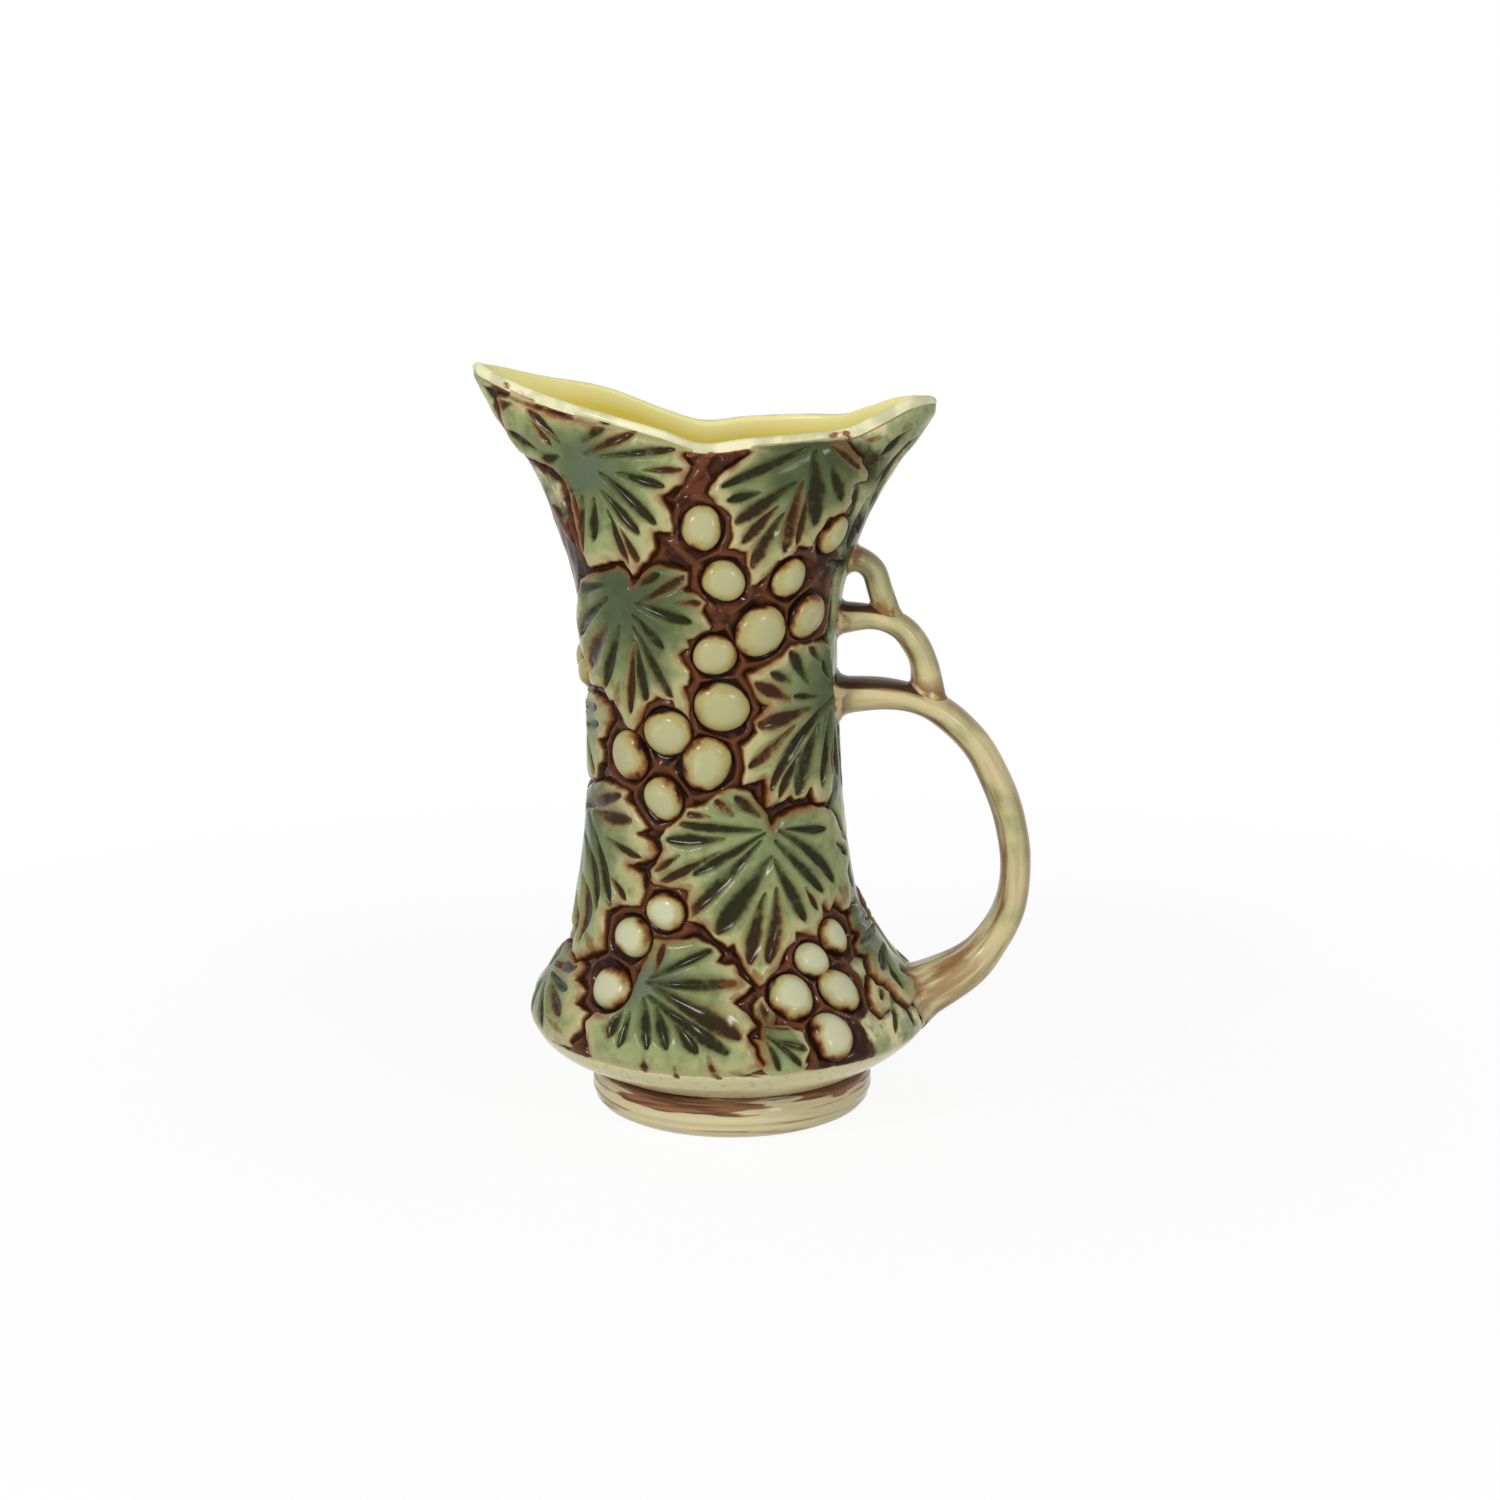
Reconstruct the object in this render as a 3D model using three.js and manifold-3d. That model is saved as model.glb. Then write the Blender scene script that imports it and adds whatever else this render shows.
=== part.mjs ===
// Embossed ceramic pitcher with a grapevine relief and a triple-arched handle.
// The body stands on a luted foot ring, the handle is three arches, and the vine leaves and grape
// bunches are moulded sprigs laid on the wall. Millimetres, +Z up, spout towards -X, handle towards +X.
import * as THREE from 'three';
import { mergeVertices } from 'three/addons/utils/BufferGeometryUtils.js';
import Module from 'manifold-3d';

const wasm = await Module();
wasm.setup();

// Slip layer left between two luted pieces
const LUTE = 0.3;

// Foot ring
const FOOT_HEIGHT = 13.2;
const FOOT_RADIUS = 43.3;
const FOOT_TOP_RADIUS = 42.4;
const FOOT_REST_RADIUS = 39;
const FOOT_REST_WIDTH = 3.5;
const FOOT_RING_WIDTH = 9.5;
const FOOT_ROUNDING = 5;
const FOOT_TOP_ROUNDING = 3.7;

// Body wall
const WALL = 4.2;
const FLOOR = 5;
const SEAT_RADIUS = 42;
const LIP_ROUNDING = 1.8;

// Outline of the wall from the seat on the foot up to the spout tip: rise above the station below,
// reach from the foot axis to the spout side and to the handle side, half depth, and how far the
// section is drawn to a point at its two ends
const SEAT_HEIGHT = FOOT_HEIGHT + LUTE;
const OUTLINE = [
  { rise: 0, spout: SEAT_RADIUS, handle: SEAT_RADIUS, depth: SEAT_RADIUS, point: 0 },
  { rise: 7, spout: 56, handle: 53.5, depth: 55, point: 0 },
  { rise: 7.5, spout: 61.5, handle: 60.6, depth: 61.2, point: 0 },
  { rise: 8, spout: 58.8, handle: 58, depth: 58.6, point: 0 },
  { rise: 11, spout: 52.2, handle: 48, depth: 50.6, point: 0 },
  { rise: 15, spout: 47.4, handle: 39.9, depth: 44.6, point: 0 },
  { rise: 23, spout: 43.6, handle: 35.3, depth: 39.8, point: 0 },
  { rise: 30, spout: 42.5, handle: 33, depth: 37.8, point: 0 },
  { rise: 30, spout: 44.4, handle: 32, depth: 38, point: 0 },
  { rise: 20, spout: 47.6, handle: 34.6, depth: 37.8, point: 0.03 },
  { rise: 17, spout: 53, handle: 40.4, depth: 36.2, point: 0.1 },
  { rise: 16, spout: 59.4, handle: 49.2, depth: 33.2, point: 0.22 },
  { rise: 15, spout: 70, handle: 60, depth: 29.8, point: 0.33 },
  { rise: 17, spout: 79, handle: 67, depth: 26, point: 0.4 },
];

// Drop of the rim below the spout tip, by degrees round from the handle end to the spout,
// on the front and on the back
const RIM = [
  { angle: 0, front: 10.4, back: 10.4 },
  { angle: 19, front: 9.4, back: 10.6 },
  { angle: 30, front: 10.6, back: 11.8 },
  { angle: 40, front: 14, back: 14.8 },
  { angle: 49, front: 17.3, back: 17.7 },
  { angle: 62, front: 18.2, back: 18.3 },
  { angle: 80, front: 19.3, back: 19.4 },
  { angle: 94, front: 20.6, back: 20.7 },
  { angle: 105, front: 17, back: 17.2 },
  { angle: 122, front: 12.4, back: 9.6 },
  { angle: 140, front: 8, back: 5.7 },
  { angle: 160, front: 3, back: 1.8 },
  { angle: 180, front: 0, back: 0 },
];

// Handle: heights of the roots on the wall, points that each arch passes, and half sizes of its
// rounded section along the way, in the plane of the arch and across it
const ROOT_SINK = 6;
const LOOP = {
  rootHeight: 128.5,
  footHeight: 32,
  points: [[46, 129], [57, 127], [66, 122], [75, 113], [81.5, 101], [85.6, 89], [87.5, 76],
    [86.2, 63], [81, 52], [72.5, 42.5]],
  half: [6, 4.5, 4.7, 4.9, 4.9, 5, 5.9, 9],
  across: [9, 7.6, 7.5, 7.5, 7.5, 7.8, 9, 13],
};
const MIDDLE_ARCH = {
  rootHeight: 152.5,
  joinAt: 0.2,
  points: [[42, 152.8], [50, 150.5], [55.2, 145.5], [58.6, 138]],
  half: [5.5, 3.9, 4, 4.3, 4.5, 6],
  across: [8, 6.2, 6.2, 6.4, 6.6, 7.4],
};
const TOP_ARCH = {
  rootHeight: 170,
  joinAt: 0.42,
  points: [[38, 170.2], [42.6, 167], [45, 161]],
  half: [5, 3.9, 3.9, 4, 4.4],
  across: [7.5, 6, 6, 6, 6],
};

// Vine leaves: height of the heart over the seat or below the rim, and the lobes as degrees from
// straight up, growing towards the handle on the front, and length
const LEAF_EDGE = 1.2;
const LEAF_CROWN = 2.1;
const LEAF_HEART = 1.5;
const LEAVES = {
  main_leaf: { angle: 293, above: 81.5, lobes: [[-170, 46], [-137, 38], [-108, 35], [-76, 25],
    [-33, 16], [72, 18], [105, 30], [131, 35], [154, 37]] },
  spout_leaf: { angle: 230, below: 16, lobes: [[-164, 31], [-131, 34], [-88, 26], [-46, 34],
    [-15, 19], [48, 20], [81, 35], [130, 27], [162, 30]] },
  neck_leaf: { angle: 301, below: 5, lobes: [[-166, 43], [-151, 35], [-123, 32], [-97, 26],
    [125, 25], [144, 30], [163, 33], [179, 35]] },
  shoulder_leaf: { angle: 238, above: 150.5, lobes: [[-173, 41], [-144, 34], [-111, 34], [-87, 29],
    [-35, 13], [42, 14], [65, 20], [92, 22], [111, 24], [148, 29]] },
  handle_leaf: { angle: 334, above: 119.5, lobes: [[-177, 33], [-155, 34], [-141, 40], [-126, 39],
    [-103, 30], [-74, 31], [-52, 24], [-28, 17]] },
  belly_leaf: { angle: 245, above: 36.5, lobes: [[-167, 26], [-138, 29], [-115, 24], [6, 14],
    [54, 22], [89, 30], [112, 37], [131, 35], [156, 28]] },
  side_leaf: { angle: 194, above: 78, lobes: [[-160, 34], [-110, 15], [-60, 11], [36, 17], [67, 27],
    [95, 35], [123, 37], [163, 42]] },
  small_leaf: { angle: 281, above: 25.5, lobes: [[-168, 11], [30, 11], [95, 13], [124, 18], [158, 14]] },
  root_leaf: { angle: 344, above: 45, lobes: [[-160, 24], [-132, 24], [-105, 14], [-30, 14]] },
  edge_leaf: { angle: 191, above: 108, lobes: [[-180, 15], [-125, 11], [-70, 9], [20, 10], [58, 16],
    [85, 14], [122, 9]] },
};
const SEAM_LEAF = { angle: 184, above: 29, lobes: [[-140, 22], [-75, 16], [8, 11], [65, 20],
  [100, 26], [130, 26], [168, 17]] };

// Grape bunches: each grape's angle, height over the seat and radius; the next grape hangs on the
// one before it by the web of the sprig
const GRAPE_SWELL = 0.62;
const WEB_WIDTH = 5;
const WEB_HEIGHT = 0.9;
const BUNCHES = {
  middle_grapes: [[267, 172, 6.3], [276, 156.6, 6.2], [272.4, 134.6, 6.2], [274.4, 119, 7.8],
    [266, 102, 7.8], [248.7, 110.7, 7.2], [245.3, 90.7, 6.3], [227.3, 102.2, 7.2]],
  handle_side_grapes: [[322, 167.7, 5.5], [304, 156.3, 5.6], [293, 141.2, 7.7], [317, 144.3, 6.9]],
  lower_grapes: [[248, 57.2, 5.9], [233.7, 48.5, 6.4], [227.7, 33.2, 6.9]],
  root_grapes: [[321, 46.5, 5.6], [306.7, 41.9, 5.6], [293.3, 32.9, 7], [301.4, 22.1, 7.2],
    [312.6, 32.4, 6.8]],
};
const SEAM_BUNCH = [[189, 123.7, 4.6], [176, 126.5, 5], [164, 120, 5.5]];

// Fineness of the faceted solids
const ROUND = 36;
const OUTER_ROWS = [0, 0.032, 0.068, 0.104, 0.15, 0.2, 0.26, 0.34, 0.45, 0.57, 0.68, 0.76, 0.83, 0.89,
  0.95, 1];
const GRAPE_SIDES = 8;
const LEAF_RING = 12;
const SECTION_SIDES = 12;

// Value of one field along a list of rows, as a smooth curve through the rows
function smooth(places, values, place) {
  const last = places.length - 1;
  const slope = (i) => {
    const a = Math.max(i - 1, 0);
    const b = Math.min(i + 1, last);
    return (values[b] - values[a]) / (places[b] - places[a]);
  };
  let i = 0;
  while (i < last - 1 && place > places[i + 1]) i += 1;
  const span = places[i + 1] - places[i];
  const s = THREE.MathUtils.clamp((place - places[i]) / span, 0, 1);
  const rest = 1 - s;
  const from = values[i] * (1 + 2 * s) + slope(i) * span * s;
  const to = values[i + 1] * (3 - 2 * s) - slope(i + 1) * span * rest;
  return from * rest * rest + to * s * s;
}

const STATION_HEIGHTS = OUTLINE.map((_, i) => (
  OUTLINE.slice(0, i + 1).reduce((sum, station) => sum + station.rise, SEAT_HEIGHT)));
const TOP = STATION_HEIGHTS[STATION_HEIGHTS.length - 1];
const COLUMNS = Object.fromEntries(['spout', 'handle', 'depth', 'point'].map((key) => (
  [key, OUTLINE.map((station) => station[key])])));
const outlineAt = (key, height) => smooth(STATION_HEIGHTS, COLUMNS[key], height);

// Height of the rim crest at an angle round the body, in degrees from the handle end
function rimHeight(angle) {
  const turned = THREE.MathUtils.euclideanModulo(angle, 360);
  const side = turned > 180 ? 'front' : 'back';
  const fromHandle = turned > 180 ? 360 - turned : turned;
  return TOP - smooth(RIM.map((row) => row.angle), RIM.map((row) => row[side]), fromHandle);
}

// Point of the wall's outer face at an angle in degrees and a height
function wallPoint(angle, height) {
  const spout = outlineAt('spout', height);
  const handle = outlineAt('handle', height);
  const turn = THREE.MathUtils.degToRad(angle);
  const side = Math.sin(turn);
  const point = Math.max(outlineAt('point', height), 0);
  const depth = outlineAt('depth', height) * side * Math.abs(side) ** point;
  return new THREE.Vector3((handle - spout) / 2 + (handle + spout) / 2 * Math.cos(turn), depth, height);
}

// Directions on the wall: round the body, up the body, and outward
const STEP = 0.01;
function wallFrame(angle, height) {
  const round = wallPoint(angle + STEP, height).sub(wallPoint(angle - STEP, height)).divideScalar(2 * STEP);
  const up = wallPoint(angle, height + STEP).sub(wallPoint(angle, height - STEP)).divideScalar(2 * STEP);
  const out = new THREE.Vector3().crossVectors(round, up).normalize();
  return { round, up, out };
}

// Wall point raised outward by some height of relief
function onWall(angle, height, raise) {
  return wallPoint(angle, height).addScaledVector(wallFrame(angle, height).out, raise);
}

// Wall place reached by walking up the wall, then round it, from a starting place
const WALK_STEPS = 8;
function walk(angle, height, along, upward) {
  let turned = angle;
  let risen = height;
  for (let i = 0; i < WALK_STEPS; i += 1) {
    risen += upward / WALK_STEPS / wallFrame(angle, risen).up.length();
    risen = THREE.MathUtils.clamp(risen, SEAT_HEIGHT + LIP_ROUNDING, TOP);
  }
  for (let i = 0; i < WALK_STEPS; i += 1) {
    turned += along / WALK_STEPS / wallFrame(turned, risen).round.length();
  }
  return { angle: turned, height: Math.min(risen, rimHeight(turned) - LIP_ROUNDING * 2) };
}

// Closed geometry through a row of rings with equal counts of points, capped at both ends
function loft(rings) {
  const count = rings[0].length;
  const centre = (ring) => ring.reduce((sum, p) => sum.add(p), new THREE.Vector3()).divideScalar(count);
  const points = rings.flat().concat([centre(rings[0]), centre(rings[rings.length - 1])]);
  const first = rings.length * count;
  const lastRing = first - count;
  const index = [];
  for (let i = 0; i < count; i += 1) {
    const j = (i + 1) % count;
    for (let r = 0; r + 1 < rings.length; r += 1) {
      const a = r * count;
      const b = a + count;
      index.push(a + i, a + j, b + j, a + i, b + j, b + i);
    }
    index.push(first, j, i, first + 1, lastRing + i, lastRing + j);
  }
  const geometry = new THREE.BufferGeometry().setFromPoints(points);
  geometry.setIndex(index);
  return geometry;
}

// Solid of a closed geometry, with its faces turned outward
function solid(geometry) {
  const bare = new THREE.BufferGeometry();
  bare.setAttribute('position', geometry.getAttribute('position'));
  bare.setIndex(geometry.getIndex());
  const merged = mergeVertices(bare, 1e-4);
  const build = (triVerts) => new wasm.Manifold(new wasm.Mesh({
    numProp: 3, vertProperties: new Float32Array(merged.getAttribute('position').array), triVerts }));
  const triangles = new Uint32Array(merged.getIndex().array);
  const made = build(triangles);
  return made.volume() > 0 ? made : build(triangles.reverse());
}

const union = (solids) => solids.reduce((sum, next) => sum.add(next));
const cutBy = (piece, cutters) => cutters.reduce((rest, cutter) => rest.subtract(cutter), piece);

// The largest body of a solid that cuts may have nibbled slivers from
function largest(piece) {
  return piece.decompose().reduce((best, next) => (next.volume() > best.volume() ? next : best));
}

// One ring round the body at a share of the way up the wall, raised by some height
function wallRing(share, raise) {
  return Array.from({ length: ROUND }, (_, i) => {
    const angle = 360 * i / ROUND;
    const crest = rimHeight(angle) - LIP_ROUNDING;
    return onWall(angle, SEAT_HEIGHT + (crest - SEAT_HEIGHT) * share, raise);
  });
}

// The outer ring drawn in towards the body's middle by the wall's thickness
function insideRing(share) {
  return wallRing(share, 0).map((outer, i) => {
    const { up } = wallFrame(360 * i / ROUND, outer.z);
    const middle = (outlineAt('handle', outer.z) - outlineAt('spout', outer.z)) / 2;
    const inward = new THREE.Vector2(middle - outer.x, -outer.y);
    const slope = -inward.clone().normalize().dot(new THREE.Vector2(up.x, up.y));
    inward.setLength(WALL * Math.hypot(1, slope));
    return new THREE.Vector3(outer.x + inward.x, outer.y + inward.y, outer.z);
  });
}

// Whole body without its hollow, raised by some height: what a luted piece is cut by
const bodyBlock = (raise) => solid(loft(OUTER_ROWS.map((share) => wallRing(share, raise))));

// Rounded top of the rim: share of the way across the wall and share of the rounding's height
const LIP_ARC = [[0.15, 0.7], [0.5, 1], [0.85, 0.7]];
// Rows below this share of the wall are filled by the floor, whose flat disc is this share as wide
const FLOOR_ROW = 0.05;
const FLOOR_DISC = 0.86;
function bodyShell() {
  const outer = OUTER_ROWS.map((share) => wallRing(share, 0));
  const lipOuter = outer[outer.length - 1];
  const lipInner = insideRing(1);
  const between = (share, lift) => lipOuter.map((p, i) => {
    const mixed = p.clone().lerp(lipInner[i], share);
    return mixed.setZ(p.z + lift);
  });
  const lip = LIP_ARC.map(([share, lift]) => between(share, LIP_ROUNDING * lift));
  const floorHeight = SEAT_HEIGHT + FLOOR;
  const inner = OUTER_ROWS.filter((share) => share > FLOOR_ROW).reverse().map(insideRing);
  const lowest = inner[inner.length - 1];
  const floor = lowest.map((p) => new THREE.Vector3(p.x * FLOOR_DISC, p.y * FLOOR_DISC, floorHeight));
  return solid(loft([...outer, ...lip, ...inner, floor]));
}

// Foot ring with a rounded band, a narrow resting rim and an open middle
function footRing() {
  const inside = FOOT_REST_RADIUS - FOOT_REST_WIDTH;
  const hollow = FOOT_RADIUS - FOOT_RING_WIDTH;
  const profile = [
    [hollow, FOOT_HEIGHT], [hollow, FOOT_ROUNDING], [inside, 0], [FOOT_REST_RADIUS, 0],
    [THREE.MathUtils.lerp(FOOT_REST_RADIUS, FOOT_RADIUS, 0.7), FOOT_ROUNDING * 0.3],
    [FOOT_RADIUS, FOOT_ROUNDING], [FOOT_RADIUS, FOOT_HEIGHT - FOOT_TOP_ROUNDING],
    [FOOT_TOP_RADIUS, FOOT_HEIGHT], [hollow, FOOT_HEIGHT],
  ].map(([r, z]) => new THREE.Vector2(r, z));
  return solid(new THREE.LatheGeometry(profile, ROUND).rotateX(Math.PI / 2));
}

// Arch of the handle along a curve in the plane of the handle, with a rounded section that changes
const ARCH_STEPS_PER_POINT = 3;
function archSolid(curve, steps, half, across, grow) {
  const spread = (list) => list.map((_, i) => i / (list.length - 1));
  const rings = Array.from({ length: steps + 1 }, (_, i) => {
    const share = i / steps;
    const middle = curve.getPoint(share);
    const along = curve.getTangent(share);
    const inPlane = smooth(spread(half), half, share) + grow;
    const sideways = smooth(spread(across), across, share) + grow;
    return Array.from({ length: SECTION_SIDES }, (__, k) => {
      const turn = 2 * Math.PI * k / SECTION_SIDES;
      const out = inPlane * Math.cos(turn);
      return new THREE.Vector3(middle.x - along.y * out, sideways * Math.sin(turn), middle.y + along.x * out);
    });
  });
  return solid(loft(rings));
}

const rootPoint = (height) => new THREE.Vector2(wallPoint(0, height).x - ROOT_SINK, height);
const curveThrough = (points) => new THREE.SplineCurve(points.map((p) => new THREE.Vector2(...p)));

const loopCurve = curveThrough([rootPoint(LOOP.rootHeight), ...LOOP.points, rootPoint(LOOP.footHeight)]);
const middleCurve = curveThrough([rootPoint(MIDDLE_ARCH.rootHeight), ...MIDDLE_ARCH.points,
  loopCurve.getPoint(MIDDLE_ARCH.joinAt)]);
const topCurve = curveThrough([rootPoint(TOP_ARCH.rootHeight), ...TOP_ARCH.points,
  middleCurve.getPoint(TOP_ARCH.joinAt)]);
const arch = (curve, spec, grow) => (
  archSolid(curve, ARCH_STEPS_PER_POINT * spec.points.length, spec.half, spec.across, grow));

// Place of a sprig's middle on the wall
function placeOf(spec) {
  const height = 'below' in spec ? rimHeight(spec.angle) - spec.below : SEAT_HEIGHT + spec.above;
  return { angle: spec.angle, height };
}

// Outline of a leaf round its heart: each lobe tip, with the edge drawn in between two lobes
const NOTCH_SPAN = 140;
const NOTCH_LEAST = 0.16;
const NOTCH_MOST = 0.72;
const NOTCH_SHARES = [0, 0.5];
function leafOutline(lobes) {
  return lobes.flatMap(([direction, length], i) => {
    const [nextDirection, nextLength] = lobes[(i + 1) % lobes.length];
    const gap = THREE.MathUtils.euclideanModulo(nextDirection - direction, 360);
    const draw = THREE.MathUtils.clamp(gap / NOTCH_SPAN, NOTCH_LEAST, NOTCH_MOST);
    return NOTCH_SHARES.map((share) => {
      const reach = THREE.MathUtils.lerp(length, nextLength, share) * (1 - draw * Math.sin(Math.PI * share));
      return { turn: THREE.MathUtils.degToRad(direction + gap * share), reach };
    });
  });
}

// Leaf sprig sunk into the wall, from below its edge up to its crown and down to its heart
const LEAF_SINK = 2;
const HEART_SHARE = 0.04;
const CROWN_SHARE = 0.5;
function leafSolid(spec, mirror, grow) {
  const heart = placeOf(spec);
  const outline = leafOutline(spec.lobes);
  const longest = Math.max(...outline.map((p) => p.reach));
  const rings = Math.ceil(longest / LEAF_RING);
  const ring = (share, raise) => outline.map(({ turn, reach }) => {
    const far = (reach + grow) * share;
    const place = walk(heart.angle, heart.height, far * Math.sin(turn), far * Math.cos(turn));
    return onWall(mirror ? 360 - place.angle : place.angle, place.height, raise);
  });
  const raiseAt = (share) => smooth([0, CROWN_SHARE, 1], [LEAF_HEART, LEAF_CROWN, LEAF_EDGE], share) + grow;
  const top = Array.from({ length: rings }, (_, i) => ring(1 - i / rings, raiseAt(1 - i / rings)));
  const underside = [ring(HEART_SHARE, -LEAF_SINK), ring(1, -LEAF_SINK)];
  return solid(loft([...underside, ...top, ring(HEART_SHARE, raiseAt(0))]));
}

// Grape as a swelling dome that stands out of the wall
const GRAPE_RISES = [-25, 18, 58];
function grapeSolid([angle, above, radius], grow) {
  const height = SEAT_HEIGHT + above;
  const { round, up, out } = wallFrame(angle, height);
  const middle = wallPoint(angle, height);
  const across = round.normalize();
  const upward = up.normalize();
  const rings = GRAPE_RISES.map((rise) => {
    const lift = (radius * GRAPE_SWELL + grow) * Math.sin(THREE.MathUtils.degToRad(rise));
    const wide = (radius + grow) * Math.cos(THREE.MathUtils.degToRad(rise));
    return Array.from({ length: GRAPE_SIDES }, (_, k) => {
      const turn = 2 * Math.PI * k / GRAPE_SIDES;
      return middle.clone().addScaledVector(out, lift)
        .addScaledVector(across, wide * Math.cos(turn)).addScaledVector(upward, wide * Math.sin(turn));
    });
  });
  return solid(loft(rings));
}

// Strip of the sprig's web between two grapes
const WEB_STEPS = 3;
function webSolid(from, to, grow) {
  const run = [to[0] - from[0], to[1] - from[1]];
  const { round, up } = wallFrame(from[0], SEAT_HEIGHT + from[1]);
  const alongRound = run[0] * round.length();
  const alongUp = run[1] * up.length();
  const length = Math.hypot(alongRound, alongUp);
  const half = WEB_WIDTH / 2 + grow;
  const rings = Array.from({ length: WEB_STEPS + 1 }, (_, i) => {
    const angle = from[0] + run[0] * i / WEB_STEPS;
    const height = SEAT_HEIGHT + from[1] + run[1] * i / WEB_STEPS;
    const corner = (side, raise) => {
      const place = walk(angle, height, side * half * alongUp / length, -side * half * alongRound / length);
      return onWall(place.angle, place.height, raise);
    };
    const high = WEB_HEIGHT + grow;
    return [corner(-1, -LEAF_SINK), corner(1, -LEAF_SINK), corner(1, high), corner(-1, high)];
  });
  return solid(loft(rings));
}

function bunchSolid(grapes, grow) {
  const domes = grapes.map((grape) => grapeSolid(grape, grow));
  const webs = grapes.slice(1).map((grape, i) => webSolid(grapes[i], grape, grow));
  return union([...domes, ...webs]);
}

// Glazes
const glaze = (color, roughness) => new THREE.MeshStandardMaterial({ color, roughness, metalness: 0 });
const BROWN_GLAZE = glaze(0x5a2a16, 0.25);
const CREAM_GLAZE = glaze(0xd9cfa6, 0.25);
const HANDLE_GLAZE = glaze(0xb9b48a, 0.25);
const LEAF_GLAZE = glaze(0x8fa57c, 0.25);
const GRAPE_GLAZE = glaze(0xc3bd8c, 0.25);

// Solids in luting order: each later piece is cut clear of the pieces it is laid against
const pitcher = new THREE.Group();
function addPiece(name, piece, material) {
  const { vertProperties, triVerts } = piece.getMesh();
  const geometry = new THREE.BufferGeometry();
  geometry.setAttribute('position', new THREE.BufferAttribute(new Float32Array(vertProperties), 3));
  geometry.setIndex(new THREE.BufferAttribute(new Uint32Array(triVerts), 1));
  geometry.computeVertexNormals();
  const mesh = new THREE.Mesh(geometry, material);
  mesh.name = name;
  pitcher.add(mesh);
}

const block = bodyBlock(LUTE);
addPiece('foot_ring', footRing(), CREAM_GLAZE);
addPiece('body_shell', bodyShell(), BROWN_GLAZE);
addPiece('handle_loop', largest(cutBy(arch(loopCurve, LOOP, 0), [block])), HANDLE_GLAZE);
const loopClear = arch(loopCurve, LOOP, LUTE);
addPiece('handle_middle_arch', largest(cutBy(arch(middleCurve, MIDDLE_ARCH, 0), [block, loopClear])),
  HANDLE_GLAZE);
const middleClear = arch(middleCurve, MIDDLE_ARCH, LUTE);
addPiece('handle_top_arch', largest(cutBy(arch(topCurve, TOP_ARCH, 0), [block, loopClear, middleClear])),
  HANDLE_GLAZE);
const taken = [loopClear, middleClear, arch(topCurve, TOP_ARCH, LUTE)];

const mirrored = (grapes) => grapes.map(([angle, above, radius]) => [360 - angle, above, radius]);
const bunches = Object.entries(BUNCHES).flatMap(([name, grapes]) => (
  [[`${name}_front`, grapes], [`${name}_back`, mirrored(grapes)]]));
bunches.push(['spout_side_grapes', SEAM_BUNCH]);
bunches.forEach(([name, grapes]) => {
  addPiece(name, cutBy(bunchSolid(grapes, 0), [block]), GRAPE_GLAZE);
  taken.push(bunchSolid(grapes, LUTE));
});

const leaves = Object.entries(LEAVES).flatMap(([name, spec]) => (
  [[`${name}_front`, spec, false], [`${name}_back`, spec, true]]));
leaves.push(['spout_side_leaf', SEAM_LEAF, false]);
leaves.forEach(([name, spec, mirror]) => {
  addPiece(name, largest(cutBy(leafSolid(spec, mirror, 0), [block, ...taken])), LEAF_GLAZE);
  taken.push(leafSolid(spec, mirror, LUTE));
});

// Origin at the middle of the part's box, on the surface that it stands on
const box = new THREE.Box3().setFromObject(pitcher);
pitcher.position.set(-(box.min.x + box.max.x) / 2, -(box.min.y + box.max.y) / 2, 0);

export default pitcher;
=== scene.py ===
"""Embossed grapevine pitcher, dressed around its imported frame.

The wall is one smooth surface that everything else is laid on: the vine leaves and grapes are worked out
in millimetres along the wall, each as a field of relief, and the same fields dig the creases of the ground
between them and say where the glazes pool.
"""

import logging
import math
from dataclasses import dataclass, field
from enum import Enum

import bpy
import numpy as np
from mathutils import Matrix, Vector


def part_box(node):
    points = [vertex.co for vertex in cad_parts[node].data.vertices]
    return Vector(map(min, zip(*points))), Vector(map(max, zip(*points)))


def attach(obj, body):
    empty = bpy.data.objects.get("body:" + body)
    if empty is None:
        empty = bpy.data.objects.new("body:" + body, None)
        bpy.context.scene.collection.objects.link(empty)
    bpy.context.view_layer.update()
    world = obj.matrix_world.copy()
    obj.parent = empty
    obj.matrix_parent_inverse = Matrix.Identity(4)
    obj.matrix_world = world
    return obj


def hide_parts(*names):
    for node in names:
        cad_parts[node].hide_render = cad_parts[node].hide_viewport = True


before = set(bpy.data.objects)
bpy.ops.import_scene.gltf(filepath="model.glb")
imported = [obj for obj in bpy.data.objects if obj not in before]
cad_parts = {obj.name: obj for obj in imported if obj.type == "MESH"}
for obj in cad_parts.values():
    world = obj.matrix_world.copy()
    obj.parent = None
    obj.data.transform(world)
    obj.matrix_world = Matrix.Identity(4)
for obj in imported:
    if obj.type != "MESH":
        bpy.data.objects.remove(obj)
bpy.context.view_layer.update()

LOG = logging.getLogger("pitcher")
MM = 0.001
BODY = "root"
# Millimetres that count as far away, and a small step in millimetres or degrees that slopes are read over.
FAR = 40.0
NUDGE = 0.02
# What a pressed stroke does to the clay: 1 is its edge, and a tone over RUST_TONE is only a stain.
RUST_TONE = 1.0
STROKE_GLAZE = (0.2, 1.45)
STROKE_HEAD = (0.0, 0.55)
STROKE_VALLEY = (0.8, 2.6)
STROKE_BOWL = 1.6
STROKE_DEEPEST = 1.5
GLAZE_ROUGHNESS = 0.16
GLAZE_IOR = 1.2
Array = np.ndarray
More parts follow.
